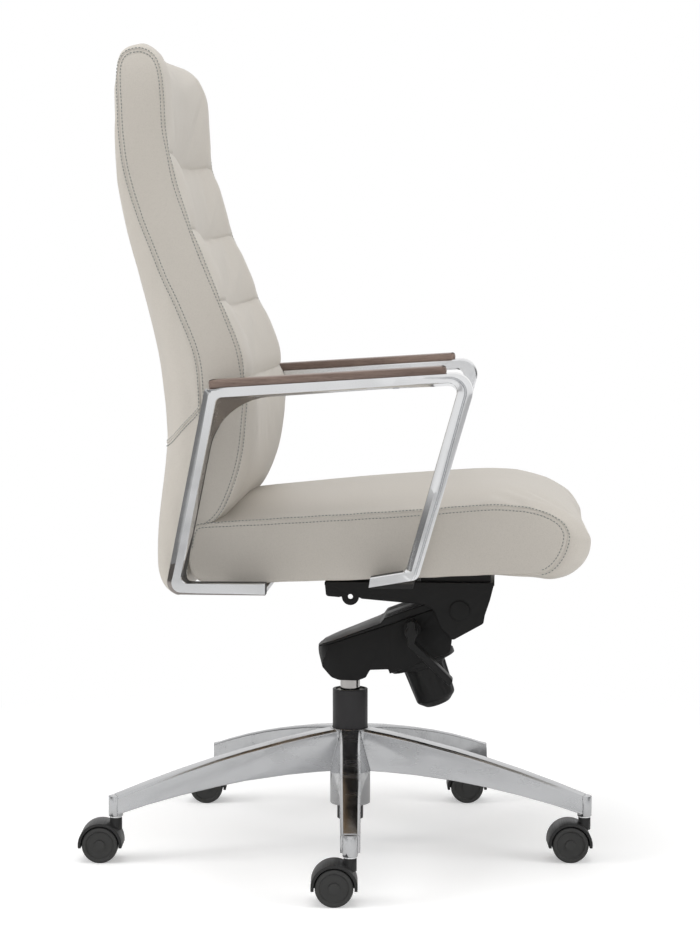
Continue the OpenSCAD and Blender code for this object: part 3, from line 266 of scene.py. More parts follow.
column_coat = moulded_plastic(
    "column_powder_coat", (0.022, 0.021, 0.022), (0.032, 0.031, 0.033), 700.0, 0.00002, 0.3)
chromed_steel = polished_metal("chromed_steel", (0.40, 0.385, 0.375), 0.06, 0.16, 200.0)
natural_nylon = moulded_plastic("natural_nylon", (0.72, 0.71, 0.66), (0.78, 0.77, 0.72), 800.0, 0.00002)
bare_steel = polished_metal("bare_steel", (0.52, 0.53, 0.55), 0.22, 0.38, 160.0, 0.00004)
broken_edges("column_tube", 0.0008, column_coat, "base")
give(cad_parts["gas_cylinder"], chromed_steel)
give(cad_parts["piston_rod"], chromed_steel)
for node in ("guide_bush", "knee_bushes"):
    give(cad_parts[node], natural_nylon)
for node in ("thrust_bearing", "retaining_clip", "valve_pin", "tension_screw", "tension_nut",
             "lever_rod", "release_arm", "tilt_arm", "bracket_bolts", "back_bolts", "arm_bolts", "cap_screws"):
    give(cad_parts[node], bare_steel)

# ---------- tilt mechanism ----------
# A die-cast housing under a moulded cover, with the spring's round cover and lobed knob below,
# and a pressed steel channel that carries the seat. All of it is black.

cast_black = moulded_plastic(
    "cast_black_paint", (0.005, 0.005, 0.005), (0.009, 0.009, 0.009), 500.0, 0.00004, 0.2)
cover_plastic = moulded_plastic(
    "cover_plastic", (0.006, 0.006, 0.006), (0.010, 0.010, 0.010), 900.0, 0.00003, 0.25)
pressed_black = moulded_plastic(
    "pressed_black_paint", (0.006, 0.006, 0.006), (0.010, 0.010, 0.010), 420.0, 0.00003, 0.2)
give(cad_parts["lever_bush"], cover_plastic)
for node, edge, mat, body, slot in (
        ("tilt_housing", 0.0016, cast_black, "lift", "cast_black"),
        ("housing_cover", 0.0012, cover_plastic, "lift", "black_plastic"),
        ("spring_cover", 0.0012, cover_plastic, "lift", "black_plastic"),
        ("tension_knob", 0.0008, cover_plastic, "tension_control", "black_plastic"),
        ("lever_handle", 0.0022, cover_plastic, "height_lever", "black_plastic"),
        ("seat_bracket", 0.0008, pressed_black, "seat", "black_paint"),
        ("front_spacer", 0.0010, cover_plastic, "seat", "black_plastic"),
        ("rear_spacer", 0.0010, cover_plastic, "seat", "black_plastic"),
        ("knee_axle", 0.0010, pressed_black, "seat", "steel"),
        ("back_bars", 0.0006, pressed_black, "seat", "black_paint")):
    broken_edges(node, edge, mat, body)

# The tilt spring is a coil of bare steel wire on the tension screw, between the nut and the tilt
# arm. It is drawn in two lengths that meet end to end, so that the lower one gives way to the nut
# and the upper one to the arm.
spring_low, spring_high = Vector((0, -0.1140, 0.2355)), Vector((0, -0.0896, 0.3025))
spring_cut = spring_low.lerp(spring_high, 0.4)
for name, away, a, b, start, end in (("low", 1, "tension_nut", "lift", spring_low, spring_cut),
                                     ("high", -1, "lift", "seat", spring_cut, spring_high)):
    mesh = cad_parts["tension_spring"].data.copy()
    mesh.materials.clear()
    work = bmesh.new()
    work.from_mesh(mesh)
    bmesh.ops.remove_doubles(work, verts=work.verts, dist=merge_distance)
    bmesh.ops.bisect_plane(work, geom=[*work.verts, *work.edges, *work.faces], plane_co=spring_cut,
                           plane_no=(spring_high - spring_low) * away, clear_outer=True)
    bmesh.ops.holes_fill(work, edges=[edge for edge in work.edges if edge.is_boundary], sides=0)
    bmesh.ops.recalc_face_normals(work, faces=work.faces)
    work.to_mesh(mesh)
    work.free()
    coil = bpy.data.objects.new(f"tension_spring_{name}", mesh)
    bpy.context.scene.collection.objects.link(coil)
    give(coil, bare_steel)
    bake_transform(coil)
    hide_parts("tension_spring")

# ---------- seat cushion ----------
# Moulded foam on a plywood pan, under a leather cover of a crowned top panel that rolls over
# the front, and two side panels. A double row of stitches holds each seam flat.

def smooth_rows(rows, count, passes=3, crowd=None):
    """Points through rows of numbers, rounded a little where the rows bend.

    They lie evenly, or closer together where crowd gives a row of numbers a higher value."""
    rows = np.array(rows, float)
    step = np.linalg.norm(np.diff(rows, axis=0), axis=1)
    along = np.concatenate([[0.0], np.cumsum(step)])
    fine = np.linspace(0.0, along[-1], 1500)
    line = np.column_stack([np.interp(fine, along, column) for column in rows.T])
    for _ in range(passes):
        soft = line.copy()
        for k in (6, 12):
            soft[k:-k] = 0.5 * soft[k:-k] + 0.25 * (line[:-2 * k] + line[2 * k:])
        line = soft
    step = np.linalg.norm(np.diff(line, axis=0), axis=1)
    if crowd:
        step = step * [crowd(row) for row in line[1:]]
    along = np.concatenate([[0.0], np.cumsum(step)])
    even = np.linspace(0.0, along[-1], count + 1)
    return np.column_stack([np.interp(even, along, column) for column in line.T])


def inward(loop, distance):
    """A closed outline moved inward by distance."""
    ahead, behind = np.roll(loop, -2, axis=0), np.roll(loop, 2, axis=0)
    along = ahead - behind
    along /= np.linalg.norm(along, axis=1)[:, None]
    normal = np.column_stack([along[:, 1], -along[:, 0]])
    if np.sum(normal * (loop.mean(axis=0) - loop)) < 0:
        normal = -normal
    return loop + normal * distance


def grow_ring(work, ring, points):
    """Draws a closed ring of vertices out to a new ring, whose vertices go to points."""
    edges = [work.edges.get((ring[i - 1], ring[i])) for i in range(len(ring))]
    made = bmesh.ops.extrude_edge_only(work, edges=edges)["geom"]
    fresh = {v for v in made if isinstance(v, bmesh.types.BMVert)}
    grown = [next(e.other_vert(v) for e in v.link_edges if e.other_vert(v) in fresh) for v in ring]
    for vert, point in zip(grown, points):
        vert.co = point
    return grown


def close_side(work, ring, columns):
    """Fills a side panel inside its ring, in rows that run from its rear edge to its front edge."""
    half = len(ring) // 2
    rows = [[ring[0]] * (columns + 1)]
    for rear, front in zip(ring[1:half], ring[:half:-1]):
        between = [work.verts.new(rear.co.lerp(front.co, c / columns)) for c in range(1, columns)]
        rows.append([rear, *between, front])
    rows.append([ring[half]] * (columns + 1))
    for above, below in zip(rows[:-1], rows[1:]):
        for c in range(columns):
            corners = dict.fromkeys((above[c], above[c + 1], below[c + 1], below[c]))
            work.faces.new(list(corners))


def cushion_shell(name, outline, half_width, seam_rows, roll, crown, mould):
    """A closed leather cover, lofted across its width from one side seam to the other.

    outline has rows of [seam forward, seam up, middle forward, middle up] in millimetres and
    half_width gives the width at a height. From the seam the panel rolls over, through the
    share of its depth and over the width that roll gives, and crown spreads the rest of the
    depth towards the middle. mould shifts the points. seam_rows says how far from a seam its
    edge, its stitches and the flat beside them lie. The rings come back by their place."""
    count = len(outline)
    halves = [half_width(z) for z in outline[:, 1]]
    total = max(halves) + 14.0
    steps = [0.0, *seam_rows, 10.5, 15.0, 21.0, 28.0, 35.0, 41.0, 46.0, 51.0, 57.0, 65.0, 75.0]
    steps += list(np.linspace(86.0, total, int((total - 86.0) / 11.0)))
    depths = np.hypot(outline[:, 2] - outline[:, 0], outline[:, 3] - outline[:, 1])

    def lie(i, t):
        share, turn = roll(i / count, depths[i])
        high = max(depths[i] * share, 0.5)
        length = math.pi / 2 * math.sqrt((turn * turn + high * high) / 2)
        if t < length:
            angle = t / length * math.pi / 2
            return halves[i] - turn * (1 - math.cos(angle)), share * math.sin(angle)
        left = (total - t) / (total - length)
        return (halves[i] - turn) * left, share + (1 - share) * crown(i / count, 1 - left)

    def ring_at(t, side, inset=0.0):
        seam = inward(outline[:, :2], inset)
        places = []
        for i, (_, _, f_mid, z_mid) in enumerate(outline):
            f, z = seam[i]
            x, g = lie(i, t)
            f, z = f + (f_mid - f) * g, z + (z_mid - z) * g
            f, z = mould(f, z, x * side, t, i / count)
            places.append((side * x / 1000, -f / 1000, z / 1000))
        return places

    work = bmesh.new()
    ring = bmesh.ops.create_circle(work, segments=count, radius=1.0)["verts"]
    rings = {}
    places = [(side, t) for side, row in ((-1, steps), (1, steps[-2::-1])) for t in row]
    for side, t in places:
        spots = ring_at(t, side)
        if rings:
            ring = grow_ring(work, ring, spots)
        else:
            for vert, place in zip(ring, spots):
                vert.co = place
        rings[side, t] = ring
    for side in (-1, 1):
        ring = rings[side, 0.0]
        for inset in seam_rows:
            rings[side, -inset] = ring = grow_ring(work, ring, ring_at(0.0, side, inset))
        close_side(work, ring, 9)
    bmesh.ops.recalc_face_normals(work, faces=work.faces)
    work.verts.index_update()
    rings = {key: [v.index for v in ring] for key, ring in rings.items()}
    mesh = bpy.data.meshes.new(name)
    work.to_mesh(mesh)
    work.free()
    return mesh, rings


def stuff(piece, held, pressure, limit, frames=18):
    """Blows a closed cover up like foam that presses from within.

    The held vertices stay, and the others move by limit at most."""
    cloth = piece.modifiers.new("stuffing", "CLOTH")
    settings = cloth.settings
    settings.quality = 6
    settings.mass = 0.4
    settings.tension_stiffness = settings.compression_stiffness = 30
    settings.shear_stiffness = 12
    settings.bending_stiffness = 1.2
    settings.tension_damping = settings.compression_damping = 12
    settings.air_damping = 4
    settings.use_pressure = True
    settings.uniform_pressure_force = pressure
    settings.effector_weights.gravity = 0.0
    group = piece.vertex_groups.new(name="held")
    for index, weight in held.items():
        group.add([int(index)], weight, "REPLACE")
    settings.vertex_group_mass = "held"
    settings.pin_stiffness = 2.0
    cloth.collision_settings.use_collision = False
    cloth.point_cache.frame_end = frames
    scene = bpy.context.scene
    rest = np.array([v.co[:] for v in piece.data.vertices])
    for step in range(1, frames + 1):
        scene.frame_set(step)
    deps = bpy.context.evaluated_depsgraph_get()
    blown = np.array([v.co[:] for v in piece.evaluated_get(deps).data.vertices])
    piece.modifiers.remove(cloth)
    scene.frame_set(1)
    move = blown - rest
    length = np.linalg.norm(move, axis=1)
    keep = np.minimum(1.0, limit / np.maximum(length, 1e-9))
    result = rest + move * keep[:, None]
    piece.data.vertices.foreach_set("co", result.ravel())
    piece.data.update()


def press_seams(piece, rings, seam_rows):
    """Draws each side seam into the foam, and its two rows of stitches a little less."""
    piece.data.update()
    normals = np.array([v.normal[:] for v in piece.data.vertices])
    for side in (-1, 1):
        for place, depth in ((0.0, 0.0019), (seam_rows[1], 0.0007), (-seam_rows[1], 0.0007)):
            for i in rings[side, place]:
                piece.data.vertices[i].co -= Vector(normals[i] * depth)
    piece.data.update()


def leather_grain_group():
    """Calf leather: small closed cells with a fine wrinkle over them, and slow changes of tone."""
    group, given, out = shader_group(
        "leather_grain",
        [("Place", "NodeSocketVector", None), ("Cells", "NodeSocketFloat", 850.0),
         ("Dark", "NodeSocketColor", (0.4, 0.4, 0.4, 1.0)), ("Light", "NodeSocketColor", (0.5, 0.5, 0.5, 1.0))],
        [("Colour", "NodeSocketColor"), ("Roughness", "NodeSocketFloat"), ("Height", "NodeSocketFloat")])
    warp = add_node(group, "TexNoise", {"Vector": given.outputs["Place"], "Scale": 130.0, "Detail": 3.0})
    push = add_node(group, "VectorMath", {0: warp.outputs["Color"], "Scale": 0.0035}, operation="SCALE")
    bent = add_node(group, "VectorMath", {0: given.outputs["Place"], 1: push.outputs[0]}, operation="ADD")
    cells = add_node(group, "TexVoronoi", {"Vector": bent.outputs[0], "Scale": given.outputs["Cells"]},
                     feature="F1")
    wrinkle = add_node(group, "TexNoise", {"Vector": bent.outputs[0], "Scale": 320.0, "Detail": 5.0,
                                           "Roughness": 0.62})
    fold = add_node(group, "Math", {0: wrinkle.outputs[0], 1: 1.4}, operation="MULTIPLY")
    dome = add_node(group, "Math", {0: fold.outputs[0], 1: cells.outputs["Distance"]}, operation="SUBTRACT")
    slow = add_node(group, "TexNoise", {"Vector": given.outputs["Place"], "Scale": 7.0, "Detail": 4.0,
                                        "Roughness": 0.55})
    tone = add_node(group, "Mix", {0: slow.outputs[0], 6: given.outputs["Dark"], 7: given.outputs["Light"]},
                    data_type="RGBA")
    pores = add_node(group, "MapRange", {"Value": cells.outputs["Distance"], "From Min": 0.35, "From Max": 0.75,
                                         "To Min": 1.0, "To Max": 0.93})
    spotted = add_node(group, "Mix", {0: 1.0, 6: tone.outputs[2], 7: pores.outputs[0]},
                       data_type="RGBA", blend_type="MULTIPLY")
    shine = add_node(group, "MapRange", {"Value": slow.outputs[0], "From Min": 0.3, "From Max": 0.7,
                                         "To Min": 0.44, "To Max": 0.54})
    group.links.new(spotted.outputs[2], out.inputs["Colour"])
    group.links.new(shine.outputs[0], out.inputs["Roughness"])
    group.links.new(dome.outputs[0], out.inputs["Height"])
    return group


leather_grain = leather_grain_group()


def leather(name, dark, light, cells):
    """Leather between two shades, with that many grain cells to the metre."""
    mat, tree, shader, place = new_material(name, light, 0.5)
    grain = use_group(tree, leather_grain, {"Place": place, "Cells": cells, "Dark": (*dark, 1.0),
                                            "Light": (*light, 1.0)})
    tree.links.new(grain.outputs["Colour"], shader.inputs["Base Color"])
    tree.links.new(grain.outputs["Roughness"], shader.inputs["Roughness"])
    raise_surface(tree, shader, grain.outputs["Height"], 0.00012, 0.55)
    return mat


putty_leather = leather("putty_leather", (0.50, 0.465, 0.415), (0.56, 0.525, 0.475), 900.0)


def thread_material(name, dark, light):
    """Twisted sewing thread between two shades."""
    mat, tree, shader, place = new_material(name, light, 0.6)
    twist = add_node(tree, "TexWave", {"Vector": place, "Scale": 700.0, "Distortion": 2.0})
    tone = add_node(tree, "Mix", {0: twist.outputs["Fac"], 6: (*dark, 1.0), 7: (*light, 1.0)}, data_type="RGBA")
    tree.links.new(tone.outputs[2], shader.inputs["Base Color"])
    return mat


thread = thread_material("sage_thread", (0.15, 0.165, 0.155), (0.24, 0.26, 0.245))


def sewn_rows(name, rows, body, pitch=0.0046, length=0.0036, thick=0.0015):
    """Lock stitches along rows of [points, normals]: each is a small sunk bar that follows the row."""
    work = bmesh.new()
    for line, face in rows:
        step = np.linalg.norm(np.diff(line, axis=0), axis=1)
        along = np.concatenate([[0.0], np.cumsum(step)])
        for at in np.arange(pitch, along[-1] - pitch, pitch):
            a = Vector([np.interp(at - length / 2, along, line[:, k]) for k in range(3)])
            b = Vector([np.interp(at + length / 2, along, line[:, k]) for k in range(3)])
            up = Vector([np.interp(at, along, face[:, k]) for k in range(3)]).normalized()
            ahead = (b - a).normalized()
            across = up.cross(ahead).normalized()
            turn = Matrix((ahead, across, up)).transposed().to_4x4()
            turn.translation = (a + b) / 2 + up * thick * 0.2
            bmesh.ops.create_icosphere(work, subdivisions=1, radius=0.5,
                                       matrix=turn @ Matrix.Diagonal((length, thick, thick * 0.9, 1.0)))
    made = bpy.data.meshes.new(name)
    work.to_mesh(made)
    work.free()
    made.shade_smooth()
    return show(name, made, thread, body)


def seam_lines(piece, rings, seam_rows, first=0, last=None):
    """The two rows beside each side seam of a cushion, as points and normals."""
    rows = []
    for side in (-1, 1):
        for place in (seam_rows[1], -seam_rows[1]):
            ring = (rings[side, place] + rings[side, place][:1])[first:last]
            rows.append((np.array([piece.data.vertices[i].co[:] for i in ring]),
                         np.array([piece.data.vertices[i].normal[:] for i in ring])))
    return rows


seat_first = [
    (-197, 440, -197, 440), (-197, 452, -197, 456), (-194, 470, -197, 474), (-189, 481.5, -191, 488),
    (-170, 483, -170, 494), (-116, 486, -116, 503), (-50, 489.6, -50, 510), (16, 494, 16, 516.5),
    (82, 498, 82, 521.5), (134, 502.6, 134, 525), (180, 506.8, 182, 527.5), (212, 508.3, 218, 527),
    (245, 506.5, 256, 523), (271, 500, 292, 510), (288, 491.7, 315, 493), (297, 482, 327, 477),
    (300, 471.5, 333, 462)]
seat_second = [
    (300, 471.5, 333, 462), (298.6, 458, 333, 446), (292, 442.5, 325, 427), (282, 429, 308, 410),
    (270, 421, 283, 404), (255, 419.5, 262, 409), (200, 418.5, 200, 415.5), (100, 413.5, 100, 411.5),
    (0, 409.5, 0, 408), (-100, 405.5, -100, 404.2), (-165, 403.5, -165, 402), (-184, 406, -186, 404),
    (-193, 415, -194, 413), (-197, 428, -197, 427), (-197, 440, -197, 440)]
seat_seam = (1.8, 4.2, 7.4)
seat_side = 257.0
seat_tuck_height = 430.0
foam_push, foam_rise = 3.0, 0.005


def seat_half(z):
    """Half the seat's width: its sides are upright and draw in a little near the bottom."""
    return seat_side - 2.5 * max(0.0, (seat_tuck_height - z) / 30.0) ** 2


def seat_roll(along, depth):
    """The nose and the rear roll right over at the corners, and the top only at its edge."""
    nose = math.exp(-((along - 0.5) / 0.085) ** 2) + math.exp(-(min(along, 1 - along) / 0.05) ** 2)
    k = min(1.0, nose)
    return 0.3 + 0.7 * k, 8.0 + 42.0 * k


def seat_crown(along, inner):
    """The top and the bottom swell evenly towards the middle."""
    return 1 - (1 - inner) ** 2.6


def seat_mould(f, z, x, t, along):
    """Slow waves along the seams, where the leather is drawn in."""
    wave = math.sin(f * 0.083 + x * 0.01) * math.sin(f * 0.031 + 1.3)
    return f, z + 0.7 * wave * math.exp(-((t - 20.0) / 22.0) ** 2)


seat_outline = np.vstack([smooth_rows(seat_first, 120)[:-1], smooth_rows(seat_second, 120)[:-1]])
mesh, seat_rings = cushion_shell(
    "seat_cover", seat_outline, seat_half, seat_seam, seat_roll, seat_crown, seat_mould)
seat_cover = show("seat_cover", mesh, putty_leather, "seat")
seat_held = {}
for (side, place), ring in seat_rings.items():
    for index in ring:
        _, y, z = seat_cover.data.vertices[index].co
        if abs(place) <= seat_seam[1] or z < 0.421 and y > -0.262:
            seat_held[index] = 1.0
stuff(seat_cover, seat_held, foam_push, foam_rise)
press_seams(seat_cover, seat_rings, seat_seam)
sewn_rows("seat_stitches", seam_lines(seat_cover, seat_rings, seat_seam, 2, 139), "seat")
seat_cover.data.shade_smooth()
soft = seat_cover.modifiers.new("smooth", "SUBSURF")
soft.levels = soft.render_levels = 1
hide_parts("seat_cushion")


def plywood(name, dark, light, ply):
    """Thin plies that show at the cut edges, with a fine figure across the faces."""
    mat, tree, shader, place = new_material(name, light, 0.55)
    layers = add_node(tree, "TexWave", {"Vector": place, "Scale": ply, "Distortion": 0.6, "Detail": 2.0},
                      bands_direction="Z")
    stretch = add_node(tree, "Mapping", {"Vector": place, "Scale": (18.0, 240.0, 18.0)})
    figure = add_node(tree, "TexNoise", {"Vector": stretch.outputs[0], "Scale": 1.0, "Detail": 5.0})
    both = add_node(tree, "Math", {0: layers.outputs["Fac"], 1: figure.outputs[0]}, operation="MULTIPLY")
    tone = add_node(tree, "Mix", {0: both.outputs[0], 6: (*dark, 1.0), 7: (*light, 1.0)}, data_type="RGBA")
    tree.links.new(tone.outputs[2], shader.inputs["Base Color"])
    raise_surface(tree, shader, figure.outputs[0], 0.00004, 0.5)
    return mat


give(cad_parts["seat_pan"], plywood("beech_plywood", (0.36, 0.24, 0.14), (0.58, 0.43, 0.28), 210.0))

# ---------- back cushion ----------
# The same leather over foam on a plywood board: two side panels, and one panel that runs over
# the top, with four sewn channels across the front and a facing panel low on the rear.

back_first = [
    (-206, 394, -212, 386), (-211, 397, -226, 389), (-214, 404, -236, 400), (-213, 416, -241, 417),
    (-209, 437, -241.5, 440), (-202, 475, -240, 478), (-193.5, 515, -236, 515), (-185, 554, -232, 554),
    (-177.5, 594, -229, 594), (-179.5, 634, -230, 634), (-182, 686, -238, 686), (-188, 712, -243, 712),
    (-198, 738, -249, 738), (-215, 777, -258, 777), (-228, 803, -265, 803), (-244, 842, -275, 842),
    (-258, 877, -283, 881), (-268.5, 907, -288, 907), (-275, 930, -292.5, 930), (-280.5, 950, -294.6, 950),
    (-284.7, 973, -296.2, 974), (-287.2, 1000, -297.2, 1000), (-289.2, 1038, -297.4, 1038),
    (-290.2, 1064, -297.6, 1065), (-290.6, 1080, -297.6, 1085), (-289.7, 1089, -296.8, 1094),
    (-287, 1096, -294.5, 1102), (-283.3, 1100.7, -290, 1109), (-278, 1103.6, -283, 1114),
    (-271, 1104.8, -273, 1116.5), (-264, 1105.2, -264, 1117.5)]
back_second = [
    (-264, 1105.2, -264, 1117.5), (-256, 1104.6, -256, 1117), (-249.4, 1102.2, -249, 1112),
    (-243, 1096.4, -241, 1104), (-238, 1087.7, -233, 1092), (-234, 1075, -227.5, 1078),
    (-231.9, 1062, -225.2, 1064), (-230.7, 1038, -223.4, 1038), (-230, 1015, -222.2, 1015),
    (-228.9, 999, -221.2, 999), (-226.1, 986, -220.2, 984), (-222.4, 968, -219, 970),
    (-218.8, 950, -211, 950), (-215, 932, -205.5, 932), (-209.5, 914, -200.5, 914), (-202.7, 896, -195.5, 896),
    (-195.7, 878, -191, 878), (-190, 860, -183, 860), (-183.1, 842, -174.7, 842), (-175.6, 824, -167, 824),
    (-168, 806, -159.5, 806), (-160.2, 788, -152.6, 788), (-152.3, 770, -145, 770), (-145.4, 752, -137.5, 752),
    (-139.5, 738, -131, 738), (-130, 712, -121, 712), (-124, 679, -113.5, 679), (-121, 646.5, -109.5, 646.5),
    (-124.6, 607, -112.5, 607), (-127.7, 581, -115.5, 581), (-133, 554, -121, 554), (-142, 528, -130, 528),
    (-153, 501.5, -142, 503), (-163, 488, -156, 486), (-183, 475, -178, 470), (-196, 455, -192, 450),
    (-199, 430, -197, 425), (-201, 408, -200, 400), (-206, 394, -212, 386)]
back_seam = (1.5, 3.2, 6.0)
channel_heights = (970.0, 870.0, 776.0, 676.0)
back_side, shoulder_side = 256.0, 236.0
bend_height, shoulder_height = 648.0, 1040.0
border = 0.17


def back_half(z):
    """Half the back's width: level beside the arms, then narrower up to its rounded top."""
    if z < bend_height:
        return back_side
    if z < shoulder_height:
        return back_side - (back_side - shoulder_side) * (z - bend_height) / (shoulder_height - bend_height)
    return shoulder_side - 11.0 * (max(0.0, z - shoulder_height) / 68.0) ** 2


def back_roll(along, depth):
    """The rear wraps round its corners to the side seams, and the front rolls over only at its edge."""
    share = np.interp(along, (0.45, 0.48, 0.52, 0.57, 0.95, 1.0), (1.0, 0.7, 0.6, 0.45, 0.45, 1.0))
    turn = np.interp(along, (0.46, 0.52, 0.57, 0.95, 1.0), (max(12.0, 0.95 * depth), 12.0, 8.0, 8.0, 14.0))
    return float(share), float(turn)


def back_crown(along, inner):
    """A border beside the seam leans outwards to a crest, and the panel goes on level from there."""
    return math.sin(min(1.0, inner / border) * math.pi / 2)


def back_mould(f, z, x, t, along):
    """Draws the sewn channels into the front and the panel between the borders in, with slow waves."""
    wave = math.sin(z * 0.071 + 0.02 * x) * math.sin(z * 0.027 + 0.9)
    f += 0.8 * wave * math.exp(-((t - 18.0) / 16.0) ** 2)
    if 0.49 < along < 0.97:
        inner = 1.0 - min(1.0, abs(x) / 189.0) ** 2
        if along > 0.52:
            start = min(1.0, t / 14.0)
            for height in channel_heights:
                off = abs(z - height + 4.0 * inner)
                f -= start * (4.6 * math.exp(-off / 3.0) + 3.4 * math.exp(-(off / 16.0) ** 2))
        hollow = inner * np.interp(z, (505, 600, 680, 780, 950, 1050, 1118), (0, 14, 22, 24, 24, 20, 15))
        hollow *= min(1.0, (along - 0.49) / 0.02)
        lean = np.interp(z, (500, 620, 700, 950, 1040), (-0.2, 0.0, 0.3, 0.3, 0.05))
        f -= hollow * 0.96
        z -= hollow * lean
    return f, z


def near_channel(row):
    """Puts the points closer together beside the channels."""
    return 1.0 + 3.0 * sum(math.exp(-((row[3] - height) / 9.0) ** 2) for height in channel_heights)


back_outline = np.vstack([smooth_rows(back_first, 200)[:-1],
                          smooth_rows(back_second, 200, 3, near_channel)[:-1]])
mesh, back_rings = cushion_shell(
    "back_cover", back_outline, back_half, back_seam, back_roll, back_crown, back_mould)
back_cover = show("back_cover", mesh, putty_leather, "seat")
back_held = {}
for (side, place), ring in back_rings.items():
    for i, index in enumerate(ring):
        channel = i > 200 and min(abs(back_outline[i][3] - height) for height in channel_heights) < 1.6
        crest = 206 < i < 385 and place in (46.0, 51.0)
        if abs(place) <= back_seam[1] or channel or crest:
            back_held[index] = 1.0
stuff(back_cover, back_held, foam_push, foam_rise)
press_seams(back_cover, back_rings, back_seam)
# The facing panel on the rear is let in with a seam that drops from each side seam.
surface = BVHTree.FromPolygons([v.co for v in back_cover.data.vertices],
                               [polygon.vertices[:] for polygon in back_cover.data.polygons])
facing_path = [(256, -180, 635), (256, -193, 624), (254, -206, 613), (247, -220, 602), (236, -232, 594),
               (215, -240, 587), (180, -240, 583), (120, -240, 580), (60, -240, 579), (0, -240, 579)]
facing_path = np.array(facing_path + [(-x, f, z) for x, f, z in facing_path[-2::-1]], float)
facing_line = smooth_rows(facing_path, 400, 1)


def on_cover(shift):
    """The facing seam's line moved up or down by shift and laid on the cover, as points and normals."""
    laid = [surface.find_nearest(Vector((x, -f, z + shift)) / 1000) for x, f, z in facing_line]
    return np.array([hit[0][:] for hit in laid]), np.array([hit[1][:] for hit in laid])


back_rows = seam_lines(back_cover, back_rings, back_seam)
sewn_rows("back_stitches", back_rows + [on_cover(4.6), on_cover(-2.6)], "seat")
fold = bmesh.new()
upper, face = on_cover(7.0)
lower, _ = on_cover(1.2)
ring = None
for top, bottom, normal in zip(upper, lower, face):
    top, bottom, normal = Vector(top), Vector(bottom), Vector(normal)
    spots = [top - normal * 0.0006, top.lerp(bottom, 0.3) + normal * 0.0003,
             top.lerp(bottom, 0.9) + normal * 0.0008, bottom + normal * 0.0003, bottom - normal * 0.0008]
    if ring is None:
        ring = [fold.verts.new(spot) for spot in spots]
        for a, b in zip(ring[:-1], ring[1:]):
            fold.edges.new((a, b))
    else:
        edges = [fold.edges.get(pair) for pair in zip(ring[:-1], ring[1:])]
        made = bmesh.ops.extrude_edge_only(fold, edges=edges)
        fresh = {v for v in made["geom"] if isinstance(v, bmesh.types.BMVert)}
        ring = [next(e.other_vert(v) for e in v.link_edges if e.other_vert(v) in fresh) for v in ring]
        for vert, spot in zip(ring, spots):
            vert.co = spot
mesh = bpy.data.meshes.new("facing_fold")
fold.to_mesh(mesh)
fold.free()
mesh.shade_smooth()
show("facing_fold", mesh, putty_leather, "seat")
back_cover.data.shade_smooth()
soft = back_cover.modifiers.new("smooth", "SUBSURF")
soft.levels = soft.render_levels = 1
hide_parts("back_cushion")
give(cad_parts["back_board"], plywood("poplar_plywood", (0.42, 0.32, 0.21), (0.66, 0.54, 0.38), 170.0))

# ---------- arm frames ----------
# Each arm is one aluminium casting, a loop of flat bar ground and polished. Its outer face
# has a sloped strip along the outside, a groove beside it, and a belly inside the loop.

def bent_line(corners, straight=36, arc=10):
    """Points along a line with rounded corners of [forward, up, radius], each with its place.

    The place is the corner's number at the middle of its arc, and halves between two corners."""
    points = [(0.0, *corners[0][:2])]
    for i in range(1, len(corners) - 1):
        before, here, after = (np.array(corner[:2]) for corner in corners[i - 1:i + 2])
        back = (before - here) / np.linalg.norm(before - here)
        on = (after - here) / np.linalg.norm(after - here)
        half = math.acos(float(np.clip(back @ on, -1, 1))) / 2
        reach = corners[i][2] / math.tan(half)
        centre = here + (back + on) / np.linalg.norm(back + on) * corners[i][2] / math.sin(half)
        first, last = here + back * reach, here + on * reach
        start = np.array(points[-1][1:])
        for k in range(1, straight + 1):
            place = points[0][0] + (i - 1) + (0.25 if i > 1 else 0.0) + (0.5 if i > 1 else 0.75) * k / straight
            points.append((place, *(start + (first - start) * k / straight)))
        a, b = first - centre, last - centre
        for k in range(1, arc + 1):
            t = k / arc
            swing = a * math.sin((1 - t) * (math.pi - 2 * half)) + b * math.sin(t * (math.pi - 2 * half))
            points.append((i - 0.25 + 0.5 * t, *(centre + swing / math.sin(math.pi - 2 * half))))
    start, end = np.array(points[-1][1:]), np.array(corners[-1][:2])
    for k in range(1, straight + 1):
        points.append((len(corners) - 1.75 + 0.75 * k / straight, *(start + (end - start) * k / straight)))
    return np.array(points)


arm_outside = bent_line([(-90, 397, 0), (-221.5, 397, 16), (-167.7, 664, 4), (185.3, 686.3, 24),
                         (107.5, 419, 12), (44, 408.3, 0)])
arm_inside = bent_line([(-90, 412.5, 0), (-200.2, 412.5, 8), (-151.6, 652.2, 9), (160.5, 673.0, 11),
                        (90.7, 428.9, 6), (46, 421.3, 0)])
arm_belly = bent_line([(-90, 412.5, 0), (-200.2, 412.5, 8), (-152.6, 647.5, 86), (160.5, 669.6, 11),
                       (90.7, 428.9, 6), (46, 421.3, 0)])
